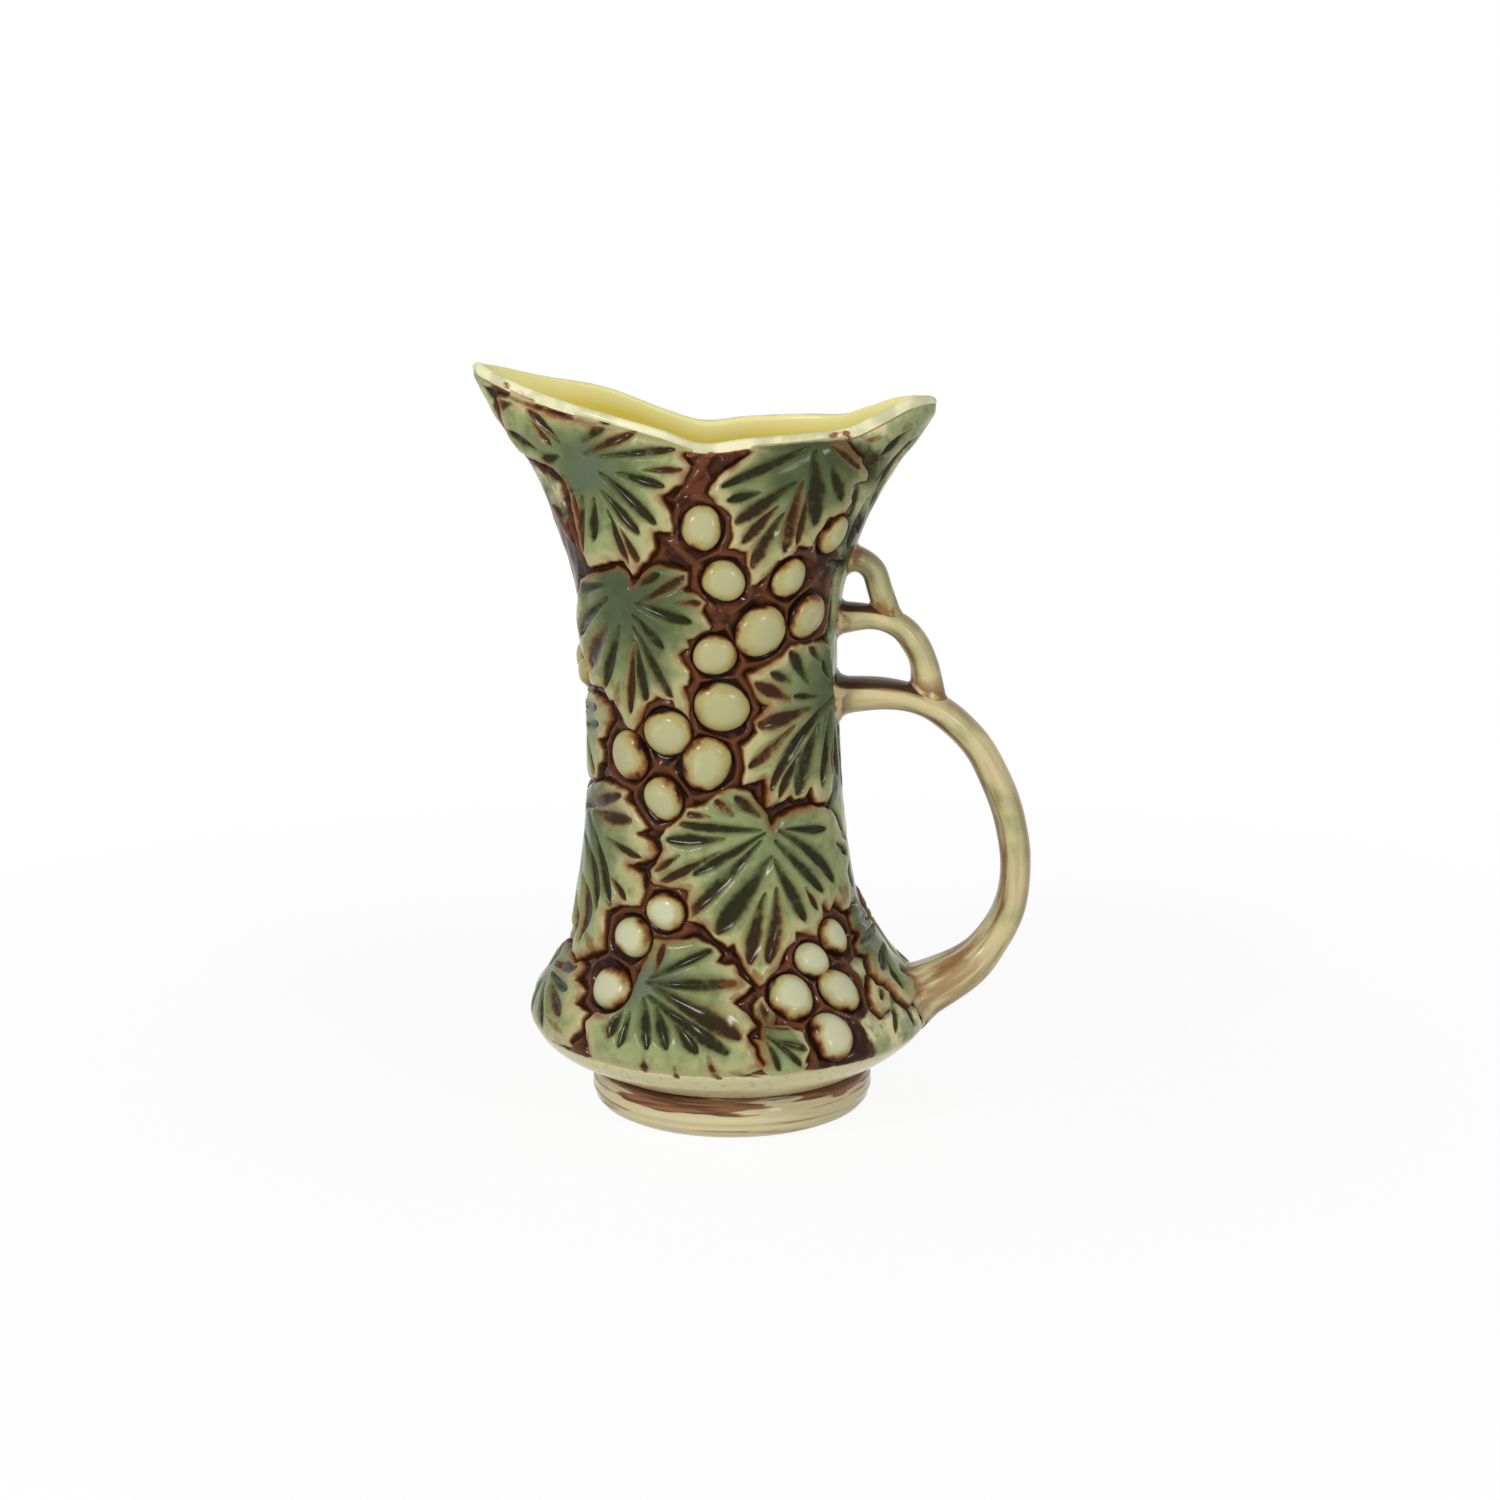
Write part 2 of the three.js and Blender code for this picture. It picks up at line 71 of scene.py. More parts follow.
# A span says where something begins and where it is whole.
Span = tuple[float, float]
Triple = tuple[float, float, float]
Colour = tuple[float, float, float]
Paint = Colour | bpy.types.NodeSocket


class Side(Enum):
    """Half of the mould that a sprig belongs to."""

    FRONT = "front"
    BACK = "back"


def smooth(places: Array, values: Array, at: Array) -> Array:
    """Read a smooth curve through a list of stations.

    Args:
        places: Where the stations are, growing.
        values: The value at each station.
        at: Where to read the curve.

    Returns:
        The curve's values, held at the first and last station outside them.
    """
    last = len(places) - 1
    before = np.maximum(np.arange(last + 1) - 1, 0)
    after = np.minimum(np.arange(last + 1) + 1, last)
    slopes = (values[after] - values[before]) / (places[after] - places[before])
    i = np.clip(np.searchsorted(places, at) - 1, 0, last - 1)
    span = places[i + 1] - places[i]
    s = np.clip((at - places[i]) / span, 0.0, 1.0)
    start = values[i] * (1 + 2 * s) + slopes[i] * span * s
    end = values[i + 1] * (3 - 2 * s) - slopes[i + 1] * span * (1 - s)
    return start * (1 - s) ** 2 + end * s**2


def ease(low: float, high: float, value: Array) -> Array:
    """Rise smoothly from 0 at low to 1 at high."""
    s = np.clip((value - low) / (high - low), 0.0, 1.0)
    return s * s * (3 - 2 * s)


def ripple(across: Array, up: Array, size: float, seed: float) -> Array:
    """Give a soft uneven swell from a few crossing waves.

    Args:
        across: Millimetres round the wall.
        up: Millimetres up the wall.
        size: Rough length of a swell in millimetres.
        seed: Shifts the pattern.

    Returns:
        Values of about -1 to 1.
    """
    total = np.zeros(np.broadcast(across, up).shape)
    for k in range(5):
        turn = 1.1 + 2.4 * k + seed
        length = size * (0.7 + 0.22 * k)
        along = across * math.cos(turn) + up * math.sin(turn)
        total = total + np.sin(2 * math.pi * along / length + 3.7 * k * seed)
    return total / 3.2


def hashed(*keys: float) -> float:
    """Give a fixed number between 0 and 1 for some keys."""
    mixed = sum((k + 1.7) * w for k, w in zip(keys, (12.9898, 78.233, 37.719)))
    return math.sin(mixed) * 43758.5453 % 1.0


@dataclass
class Wall:
    """The outer face of the body, in millimetres about the foot's axis.

    A place on it is an angle in degrees round from the handle, and a height.
    """

    seat: float = 13.5
    rise: tuple[float, ...] = (0, 7, 7.5, 8, 11, 15, 23, 30, 30, 20, 17, 16, 15, 17)
    spout: tuple[float, ...] = (42, 56, 61.5, 58.8, 52.2, 47.4, 43.6, 42.5, 44.4, 47.6, 53, 59.4, 70, 79)
    handle: tuple[float, ...] = (42, 53.5, 60.6, 58, 48, 39.9, 35.3, 33, 32, 34.6, 40.4, 49.2, 60, 67)
    depth: tuple[float, ...] = (42, 55, 61.2, 58.6, 50.6, 44.6, 39.8, 37.8, 38, 37.8, 36.2, 33.2, 29.8, 26)
    point: tuple[float, ...] = (0, 0, 0, 0, 0, 0, 0, 0, 0, 0.03, 0.1, 0.22, 0.33, 0.4)
    rim_angle: tuple[float, ...] = (0, 19, 30, 40, 49, 62, 80, 94, 105, 122, 140, 160, 180)
    rim_front: tuple[float, ...] = (10.4, 9.4, 10.6, 14, 17.3, 18.2, 19.3, 20.6, 17, 12.4, 8, 3, 0)
    rim_back: tuple[float, ...] = (10.4, 10.6, 11.8, 14.8, 17.7, 18.3, 19.4, 20.7, 17.2, 9.6, 5.7, 1.8, 0)
    thickness: float = 4.2
    lip: float = 1.8
    table_low: int = -180
    table_high: int = 540
    table_step: float = 0.5
    usual_radius: float = 40.0
    walk_steps: int = 6

    def __post_init__(self) -> None:
        """Lay out the stations and measure the wall in tables."""
        self.heights = self.seat + np.cumsum(self.rise)
        self.top = float(self.heights[-1])
        self.columns = [np.asarray(c, float) for c in (self.spout, self.handle, self.depth, self.point)]
        low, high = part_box("foot_ring")
        self.axis = np.array([(low[0] + high[0]) / 2, (low[1] + high[1]) / 2, 0.0])
        self.table_angles = np.arange(self.table_low, self.table_high + 1, 1.0)
        self.table_heights = np.arange(self.seat, self.top + self.table_step, self.table_step)
        grid = self.point_at(self.table_angles[:, None], self.table_heights[None, :])
        around = np.linalg.norm(np.diff(grid, axis=0), axis=-1)
        upward = np.linalg.norm(np.diff(grid, axis=1), axis=-1)
        self.girth = np.vstack([np.zeros((1, grid.shape[1])), np.cumsum(around, axis=0)])
        self.climb = np.hstack([np.zeros((grid.shape[0], 1)), np.cumsum(upward, axis=1)])

    def point_at(self, angle: Array, height: Array) -> Array:
        """Give the wall's points.

        Args:
            angle: Degrees round from the handle.
            height: Millimetres over the resting surface.

        Returns:
            Points in millimetres about the foot's axis.
        """
        angle, height = np.broadcast_arrays(np.asarray(angle, float), np.asarray(height, float))
        spout, handle, depth, point = (smooth(self.heights, c, height) for c in self.columns)
        turn = np.radians(angle)
        side = np.sin(turn)
        x = (handle - spout) / 2 + (handle + spout) / 2 * np.cos(turn)
        y = depth * side * np.abs(side) ** np.maximum(point, 0.0)
        return np.stack([x, y, height], axis=-1)

    def raised(self, angle: Array, height: Array, lift: Array) -> Array:
        """Give the wall's points moved outward, square to the wall.

        Args:
            angle: Degrees round from the handle.
            height: Millimetres over the resting surface.
            lift: Millimetres outward.

        Returns:
            Points in millimetres about the foot's axis.
        """
        around = self.point_at(angle + NUDGE, height) - self.point_at(angle - NUDGE, height)
        upward = self.point_at(angle, height + NUDGE) - self.point_at(angle, height - NUDGE)
        out = np.cross(around, upward)
        out /= np.linalg.norm(out, axis=-1, keepdims=True)
        return self.point_at(angle, height) + out * np.asarray(lift)[..., None]

    def rim(self, angle: Array) -> Array:
        """Give the height of the rim's crest.

        Args:
            angle: Degrees round from the handle.

        Returns:
            Millimetres over the resting surface.
        """
        turned = np.mod(angle, 360.0)
        round_from_handle = np.where(turned > 180, 360 - turned, turned)
        stations = np.asarray(self.rim_angle, float)
        front = smooth(stations, np.asarray(self.rim_front, float), round_from_handle)
        back = smooth(stations, np.asarray(self.rim_back, float), round_from_handle)
        return self.top - np.where(turned > 180, front, back)

    def read(self, table: Array, angle: Array, height: Array) -> Array:
        """Read a table of the wall between its rows and columns.

        Args:
            table: The table, by angle and height.
            angle: Degrees round from the handle.
            height: Millimetres over the resting surface.

        Returns:
            The table's values there.
        """
        a = np.clip(angle - self.table_low, 0, len(self.table_angles) - 1.001)
        h = np.clip((height - self.seat) / self.table_step, 0, len(self.table_heights) - 1.001)
        i, j = a.astype(int), h.astype(int)
        s, t = a - i, h - j
        low = table[i, j] * (1 - t) + table[i, j + 1] * t
        high = table[i + 1, j] * (1 - t) + table[i + 1, j + 1] * t
        return low * (1 - s) + high * s

    def local(self, angle: float, height: float, to_angle: Array, to_height: Array) -> tuple[Array, Array]:
        """Measure places on the wall from one of them.

        Args:
            angle: Angle of the place that is measured from.
            height: Its height.
            to_angle: Angles of the measured places.
            to_height: Their heights.

        Returns:
            Millimetres round the wall and millimetres up the wall.
        """
        near = angle + np.mod(to_angle - angle + 180.0, 360.0) - 180.0
        start = np.full(np.shape(near), float(angle))
        around = self.read(self.girth, near, to_height) - self.read(self.girth, start, to_height)
        base = self.read(self.climb, np.array([float(angle)]), np.array([float(height)]))[0]
        return around, self.read(self.climb, start, to_height) - base

    def walk(self, angle: float, height: float, around: Array, upward: Array) -> tuple[Array, Array]:
        """Find the places that lie some millimetres from one place.

        Args:
            angle: Angle of the place that is measured from.
            height: Its height.
            around: Millimetres round the wall.
            upward: Millimetres up the wall.

        Returns:
            Angles and heights.
        """
        column = self.climb[int(round(angle)) - self.table_low]
        base = np.interp(height, self.table_heights, column)
        to_height = np.interp(base + upward, column, self.table_heights)
        start = np.full(np.shape(to_height), float(angle))
        home = self.read(self.girth, start, to_height)
        to_angle = start + np.degrees(around / self.usual_radius)
        for _ in range(self.walk_steps):
            here = self.read(self.girth, to_angle, to_height)
            ahead = self.read(self.girth, to_angle + 0.5, to_height)
            pace = ahead - self.read(self.girth, to_angle - 0.5, to_height)
            to_angle = to_angle - (here - home - around) / np.maximum(pace, 0.05)
        return to_angle, to_height

    def measure(self, points: Array) -> Array:
        """Measure roughly how far points lie outside the wall.

        Args:
            points: Points in millimetres about the foot's axis.

        Returns:
            Millimetres, below zero inside the wall.
        """
        height = points[..., 2]
        spout, handle, depth, point = (smooth(self.heights, c, height) for c in self.columns)
        across = points[..., 0] - (handle - spout) / 2
        deep = (np.abs(points[..., 1]) / depth) ** (1 / (1 + point))
        share = np.hypot(2 * across / (handle + spout), deep)
        above, below = (smooth(self.heights, self.columns[1], height + half) for half in (0.5, -0.5))
        lean = above - below
        return (1 - 1 / np.maximum(share, 0.01)) * np.hypot(across, points[..., 1]) / np.hypot(1, lean)

    def to_scene(self, points: Array) -> Array:
        """Move points from the foot's axis into the shared frame, in metres."""
        return points * MM + self.axis


def inset_of(outline: Array, x: Array, y: Array) -> Array:
    """Measure how far places lie inside a closed outline.

    Args:
        outline: Corners of the outline in millimetres.
        x: Places across.
        y: Places up.

    Returns:
        Millimetres to the outline, below zero outside it.
    """
    nearest = np.full(x.shape, 1e6)
    inside = np.zeros(x.shape, dtype=bool)
    for (ax, ay), (bx, by) in zip(outline, np.roll(outline, -1, axis=0)):
        dx, dy = bx - ax, by - ay
        t = np.clip(((x - ax) * dx + (y - ay) * dy) / (dx * dx + dy * dy), 0.0, 1.0)
        nearest = np.minimum(nearest, (x - ax - t * dx) ** 2 + (y - ay - t * dy) ** 2)
        if dy != 0:
            inside ^= ((ay > y) != (by > y)) & (x < ax + (y - ay) * dx / dy)
    return np.where(inside, 1.0, -1.0) * np.sqrt(nearest)


@dataclass(frozen=True)
class Stroke:
    """One tapering stroke pressed into the clay, from its thin end to its blunt one, in millimetres."""

    x0: float
    y0: float
    x1: float
    y1: float
    half: float
    tone: float = 0.3
    bend: float = 0.0
    spread: float = 1.22
    lead: float = 0.14
    widest: float = 0.62

    def mirrored(self) -> "Stroke":
        """Give the same stroke on the other half of the mould."""
        return Stroke(-self.x0, self.y0, -self.x1, self.y1, self.half, self.tone, -self.bend)

    def nearness(self, x: Array, y: Array) -> tuple[Array, Array]:
        """Measure places against the stroke.

        Args:
            x: Places across.
            y: Places up.

        Returns:
            0 on the stroke's middle line to 1 at its edge, and 0 to 1 from its thin end to its blunt one.
        """
        length = math.hypot(self.x1 - self.x0, self.y1 - self.y0)
        ux, uy = (self.x1 - self.x0) / length, (self.y1 - self.y0) / length
        aside = (y - self.y0) * ux - (x - self.x0) * uy
        along = (x - self.x0) * ux + (y - self.y0) * uy + self.lead * length
        length *= 1 + self.lead
        t = np.clip(along / length, 0.0, 1.0)
        aside = aside - self.bend * 4 * t * (1 - t)
        beyond = np.maximum(np.maximum(-along, along - length), 0.0)
        thin = 0.2 + 0.8 * (np.minimum(t, self.widest) / self.widest) ** 0.8
        blunt = np.sqrt(1 - 0.84 * (np.maximum(t - self.widest, 0.0) / (1 - self.widest)) ** 2)
        return np.hypot(aside, beyond) / (self.half * self.spread * thin * blunt), t


def strokes(*rows: tuple[float, ...]) -> tuple[Stroke, ...]:
    """Make strokes from rows of their sizes, in the order of a stroke's fields."""
    return tuple(Stroke(*row) for row in rows)


def press(pressed: tuple[Stroke, ...], around: Array, upward: Array) -> dict[str, Array]:
    """Work out what some strokes do to the clay.

    Args:
        pressed: The strokes. One with a tone over RUST_TONE is a stain that leaves the clay flat.
        around: Millimetres round the wall.
        upward: Millimetres up the wall.

    Returns:
        How deep the clay is pressed in millimetres, and the marks of dark, valley, brown and rust.
    """
    deep, dark, valley, brown, rust = (np.zeros(np.shape(around)) for _ in range(5))
    for stroke in pressed:
        near, along = stroke.nearness(around, upward)
        mark = 1 - ease(*STROKE_GLAZE, near)
        if stroke.tone > RUST_TONE:
            rust = np.maximum(rust, mark)
            continue
        mark = mark * (0.45 + 0.55 * ease(*STROKE_HEAD, along))
        valley = np.maximum(valley, 1 - ease(*STROKE_VALLEY, near))
        brown = np.where(mark > dark, stroke.tone, brown)
        dark = np.maximum(dark, mark)
        bowl = np.clip(1 - (near / STROKE_BOWL) ** 2, 0.0, 1.0) ** 1.7
        deep = np.maximum(deep, bowl * min(STROKE_DEEPEST, 0.5 + 0.5 * stroke.half))
    return {"deep": deep, "hollow": dark, "valley": valley, "brown": brown, "rust": rust}


@dataclass(frozen=True)
class LeafPlan:
    """Where a vine leaf lies: its outlines and strokes are millimetres round and up from its heart."""

    name: str
    angle: float
    height: float
    outlines: tuple[tuple[tuple[float, float], ...], ...]
    strokes: tuple[Stroke, ...]
    milk: float = 0.4
    shade: float = 0.4

    def mirrored(self) -> "LeafPlan":
        """Turn the leaf over for the other half of the mould.

        Returns:
            The mirrored leaf.
        """
        outlines = tuple(tuple((-x, y) for x, y in outline) for outline in self.outlines)
        strokes = tuple(stroke.mirrored() for stroke in self.strokes)
        return LeafPlan(self.name, 360 - self.angle, self.height, outlines, strokes, self.milk, self.shade)


@dataclass(frozen=True)
class Grape:
    """One grape: its place on the wall and its radius in millimetres."""

    angle: float
    height: float
    radius: float

    def mirrored(self) -> "Grape":
        """Give the same grape on the other half of the mould."""
        return Grape(360 - self.angle, self.height, self.radius)


@dataclass
class VineLeaf:
    """A leaf sprig: a softly rounded pad of clay with strokes pressed in between its veins."""

    plan: LeafPlan
    node: str
    wall: Wall
    seed: int
    edge_height: float = 1.8
    edge_round: float = 2.8
    crown: float = 0.5
    sink: float = 2.4
    buried: float = 0.4
    fall: float = 1.3
    cushion: float = 6.0
    pad: Span = (0.3, 2.0)
    uneven: float = 0.15
    uneven_size: float = 9.0
    ragged: float = 0.28
    ragged_size: float = 5.0
    rim_blend: Span = (1.2, 3.8)
    rim_drop: float = 1.2
    rim_drop_over: Span = (0.5, 2.5)
    band_blend: Span = (25.0, 30.5)
    low_wall: Span = (26.0, 36.0)
    low_share: float = 0.8
    flattened: float = 0.88
    blend_inset: float = 6.0
    near_edge: float = 14.0
    leaf_gap: float = 0.7
    grape_gap: float = 1.3
    step: float = 0.66
    skirt: float = 1.3
    skirt_steps: int = 24
    skirt_fall: float = 0.35
    over: list["VineLeaf"] = field(default_factory=list)
    grapes: list[Grape] = field(default_factory=list)

    def __post_init__(self) -> None:
        """Take the outlines as arrays and measure the leaf's reach."""
        self.outlines = [np.asarray(outline, float) for outline in self.plan.outlines]
        corners = np.concatenate(self.outlines)
        self.longest = float(np.hypot(corners[:, 0], corners[:, 1]).max())
        self.middle = self.outlines[0].mean(0)

    def own_inset(self, around: Array, upward: Array) -> Array:
        """Measure how far places lie inside the leaf's own edge.

        Args:
            around: Millimetres round the wall from the heart.
            upward: Millimetres up the wall from the heart.

        Returns:
            Millimetres, below zero outside the edge.
        """
        inset = inset_of(self.outlines[0], around, upward)
        for outline in self.outlines[1:]:
            inset = np.maximum(inset, inset_of(outline, around, upward))
        return inset + self.ragged * ripple(around, upward, self.ragged_size, self.seed)

    def inset(self, angle: Array, height: Array) -> Array:
        """Measure how far places on the wall lie inside the leaf's own edge.

        Args:
            angle: Angles of the places.
            height: Their heights.

        Returns:
            Millimetres, below zero outside the edge.
        """
        around, upward = self.wall.local(self.plan.angle, self.plan.height, angle, height)
        inset = np.full(np.shape(around), -FAR)
        near = np.hypot(around, upward) < self.longest + self.near_edge
        inset[near] = self.own_inset(around[near], upward[near])
        return inset

    def relief(self, around: Array, upward: Array, angle: Array, height: Array) -> dict[str, Array]:
        """Work out the relief and the glaze marks of the leaf.

        Args:
            around: Millimetres round the wall from the heart.
            upward: Millimetres up the wall from the heart.
            angle: Angles on the wall of the same places.
            height: Heights of the same places.

        Returns:
            The lift in millimetres, and the marks for the glaze.
        """
        inset = self.own_inset(around, upward)
        for other in self.over:
            inset = np.minimum(inset, -other.inset(angle, height) - self.leaf_gap)
        for grape in self.grapes:
            across, climb = self.wall.local(grape.angle, grape.height, angle, height)
            inset = np.minimum(inset, np.hypot(across, climb) - grape.radius - self.grape_gap)
        marks = press(self.plan.strokes, around, upward)
        rounded = np.clip(inset / self.edge_round, 0.0, 1.0)
        lift = self.edge_height * np.sqrt(1 - (1 - rounded) ** 2)
        lift = lift + np.maximum(self.fall * np.minimum(inset, 0), -self.sink)
        body = ease(*self.pad, inset)
        swell = self.crown * (1 - np.exp(-np.maximum(inset, 0) / self.cushion))
        swell = swell + self.uneven * ripple(around, upward, self.uneven_size, self.seed)
        lift = lift + body * (swell - marks["deep"])
        to_rim = self.wall.rim(angle) - height
        blend = np.maximum(1 - ease(*self.rim_blend, to_rim), 1 - ease(*self.band_blend, height))
        low = 1 - ease(*self.low_wall, height)
        lift = lift * (1 - self.flattened * np.maximum(blend, self.low_share * low))
        lift = lift - self.rim_drop * (1 - ease(*self.rim_drop_over, to_rim))
        inset = inset + self.blend_inset * blend
        hollow = marks["hollow"] * np.maximum(body, blend)
        return {"lift": lift, "inset": inset, "hollow": hollow, "valley": marks["valley"] * body,
                "brown": marks["brown"], "rust": marks["rust"],
                "heart": np.hypot(around, upward) / self.longest, "blend": blend}

    def build(self, finish: "LeafGlaze") -> bpy.types.Object:
        """Make the leaf as one closed mesh that sinks into the wall at its edge.

        Args:
            finish: The glaze that it wears.

        Returns:
            The leaf's object.
        """
        sides = int(2 * math.pi * self.longest / self.step)
        rows = int(self.longest / self.step)
        turns = np.linspace(0, 2 * np.pi, sides, endpoint=False)
        reach = self.reach(turns) + self.skirt
        shares = np.linspace(0.015, 1, rows)[:, None]
        far = shares * reach[None, :]
        around = self.middle[0] + far * np.sin(turns)
        upward = self.middle[1] + far * np.cos(turns)
        angle, height = self.wall.walk(self.plan.angle, self.plan.height, around, upward)
        height = np.minimum(height, self.wall.rim(angle) - self.wall.lip)
        marks = self.relief(around, upward, angle, height)
        top = self.wall.raised(angle, height, marks.pop("lift"))
        low = np.full(sides, -self.sink - self.buried)
        under = np.array([self.wall.raised(angle[k], height[k], low) for k in (-2, rows // 2, 0)])
        empty = np.zeros((len(under), sides))
        values = {name: np.concatenate([table, empty]) for name, table in marks.items()}
        patch = capped(self.wall.to_scene(np.concatenate([top, under])), values)
        return place(patch, self.node, finish.material())

    def reach(self, turns: Array) -> Array:
        """Find the farthest edge from the leaf's middle.

        Where the edge jumps inward, the hidden skirt beyond it falls off slowly, so the mesh doesn't fold.

        Args:
            turns: Directions in radians.

        Returns:
            Millimetres to the edge.
        """
        reach = np.ones(turns.shape)
        ux, uy = np.sin(turns), np.cos(turns)
        for outline in self.outlines:
            start = outline - self.middle
            step = np.roll(start, -1, axis=0) - start
            for (sx, sy), (dx, dy) in zip(start, step):
                cross = ux * dy - uy * dx
                safe = np.where(np.abs(cross) < 1e-9, 1e-9, cross)
                far = (sx * dy - sy * dx) / safe
                along = (sx * uy - sy * ux) / safe
                reach = np.where((far > reach) & (along >= 0) & (along <= 1), far, reach)
        for _ in range(self.skirt_steps):
            beside = np.maximum(np.roll(reach, 1), np.roll(reach, -1))
            reach = np.maximum(reach, beside - self.skirt_fall)
        return reach


@dataclass
class GrapeBunch:
    """A bunch of swelling grapes, each sitting in its own socket of the ground."""

    node: str
    grapes: tuple[Grape, ...]
    wall: Wall
    swell: float = 0.42
    roundness: float = 2.8
    fullness: float = 0.55
    oval: float = 0.07
    lumpy: float = 0.02
    seated: float = 0.3
    edge: Span = (0.98, 1.08)
    edge_fall: float = 2.0
    buried: float = 2.2
    ripening: Span = (72.0, 125.0)
    sides: int = 48

    def build(self, finish: "GrapeGlaze") -> bpy.types.Object:
        """Make the bunch's domes as one object.

        Args:
            finish: The glaze that it wears.

        Returns:
            The bunch's object.
        """
        turns = np.linspace(0, 2 * np.pi, self.sides, endpoint=False)
        shares = np.concatenate([np.linspace(0.02, 0.9, 12), np.linspace(0.92, 1.08, 8)])
        patches: list[Patch] = []
        for k, grape in enumerate(self.grapes):
            oval = self.oval * np.sin(2 * turns + 6 * hashed(grape.angle, k))
            squash = 1 + oval + self.lumpy * np.sin(3 * turns + k)
            far = shares[:, None] * grape.radius * squash[None, :]
            around, upward = far * np.sin(turns), far * np.cos(turns)
            angle, height = self.wall.walk(grape.angle, grape.height, around, upward)
            dome = np.clip(1 - np.minimum(shares, 1) ** self.roundness, 0, 1) ** self.fullness
            sunk = self.edge_fall * ease(*self.edge, shares) + self.seated
            lift = grape.radius * self.swell * dome - sunk
            top = self.wall.raised(angle, height, np.broadcast_to(lift[:, None], far.shape))
            under = self.wall.raised(angle[8], height[8], np.full(self.sides, -self.buried))[None]
            edge = np.broadcast_to(shares[:, None], far.shape)
            ripe = 0.3 * hashed(grape.angle, grape.height) + 0.7 * ease(*self.ripening, grape.height)
            tone = np.full(far.shape, ripe)
            values = {"dome": np.concatenate([edge, np.ones((1, self.sides))]),
                      "tone": np.concatenate([tone, tone[:1]])}
            patches.append(capped(self.wall.to_scene(np.concatenate([top, under])), values))
        return place(merged(patches), self.node, finish.material())


@dataclass
class Patch:
    """Points in metres, faces and one number for each point by its mark's name."""

    points: Array
    faces: list[list[int]]
    marks: dict[str, Array]

    def mesh(self, name: str) -> bpy.types.Mesh:
        """Make a smoothly shaded mesh of the patch.

        Args:
            name: Name of the mesh.

        Returns:
            The mesh with its marks as attributes.
        """
        mesh = bpy.data.meshes.new(name)
        mesh.from_pydata(self.points.tolist(), [], self.faces)
        for key, values in self.marks.items():
            mesh.attributes.new(key, "FLOAT", "POINT").data.foreach_set("value", values.astype(np.float32))
        mesh.polygons.foreach_set("use_smooth", np.ones(len(mesh.polygons), dtype=bool))
        mesh.update()
        return mesh


def banded(rings: Array, marks: dict[str, Array]) -> Patch:
    """Cover rings that come back to the first one.

    Args:
        rings: Points in metres, as rings by points by three.
        marks: One number for each point, by name.

    Returns:
        The closed patch.
    """
    rows, count = rings.shape[:2]
    here = np.arange(count)
    beside = (here + 1) % count
    base = np.arange(rows)[:, None] * count
    above = (base + count) % (rows * count)
    quads = np.stack([base + here, base + beside, above + beside, above + here], axis=-1)
    flat = {key: table.reshape(-1) for key, table in marks.items()}
    return Patch(rings.reshape(-1, 3), quads.reshape(-1, 4).tolist(), flat)


def capped(rings: Array, marks: dict[str, Array]) -> Patch:
    """Cover a row of rings and close both ends round a point in their middle.

    Args:
        rings: Points in metres, as rings by points by three.
        marks: One number for each point, by name.

    Returns:
        The closed patch.
    """
    rows, count = rings.shape[:2]
    band = banded(rings, marks)
    first, last = rows * count, rows * count + 1
    end = first - count
    faces = band.faces[:end]
    faces += [[first, (k + 1) % count, k] for k in range(count)]
    faces += [[last, end + k, end + (k + 1) % count] for k in range(count)]
    points = np.concatenate([band.points, rings[:1].mean(1), rings[-1:].mean(1)])
    ends = {key: [table[0].mean(), table[-1].mean()] for key, table in marks.items()}
    flat = {key: np.concatenate([table, ends[key]]) for key, table in band.marks.items()}
    return Patch(points, faces, flat)


def merged(patches: list[Patch]) -> Patch:
    """Put several patches with the same marks into one.

    Args:
        patches: The patches.

    Returns:
        The one patch.
    """
    starts = np.cumsum([0] + [len(patch.points) for patch in patches]).tolist()
    faces = [[v + start for v in face] for start, patch in zip(starts, patches) for face in patch.faces]
    marks = {key: np.concatenate([patch.marks[key] for patch in patches]) for key in patches[0].marks}
    return Patch(np.concatenate([patch.points for patch in patches]), faces, marks)


def place(patch: Patch, node: str, material: bpy.types.Material) -> bpy.types.Object:
    """Put a piece in the scene for the node that it stands for.

    Args:
        patch: The piece's points, faces and marks.
        node: The node that it replaces.
        material: Its glaze.

    Returns:
        The new object.
    """
    mesh = patch.mesh(node)
    piece = bpy.data.objects.new(f"{mesh.name}_glazed", mesh)
    bpy.context.scene.collection.objects.link(piece)
    mesh.materials.append(material)
    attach(piece, BODY)
    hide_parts(node)
    LOG.info("%s: %d faces", piece.name, len(mesh.polygons))
    return piece


@dataclass(frozen=True)
class Level:
    """A number that varies over a surface, worked out by the nodes of its material."""

    nodes: "Nodes"
    socket: bpy.types.NodeSocket

    def __add__(self, other: "Level | float") -> "Level":
        """Add a level or a number."""
        return self.nodes.sum("ADD", self, other)

    def __sub__(self, other: "Level | float") -> "Level":
        """Take a level or a number away."""
        return self.nodes.sum("SUBTRACT", self, other)

    def __mul__(self, other: "Level | float") -> "Level":
        """Multiply by a level or a number."""
        return self.nodes.sum("MULTIPLY", self, other)

    def ease(self, low: float, high: float, most: float = 1.0) -> "Level":
        """Rise smoothly from nothing to most, or fall where low is above high.

        Args:
            low: The level that gives nothing.
            high: The level that gives the most.
            most: What it rises to.

        Returns:
            The eased level.
        """
        falling = low > high
        ends = {"From Min": min(low, high), "From Max": max(low, high),
                "To Min": most if falling else 0.0, "To Max": 0.0 if falling else most}
        node = self.nodes.add("MapRange", {"Value": self, **ends}, interpolation_type="SMOOTHSTEP")
        return Level(self.nodes, node.outputs["Result"])


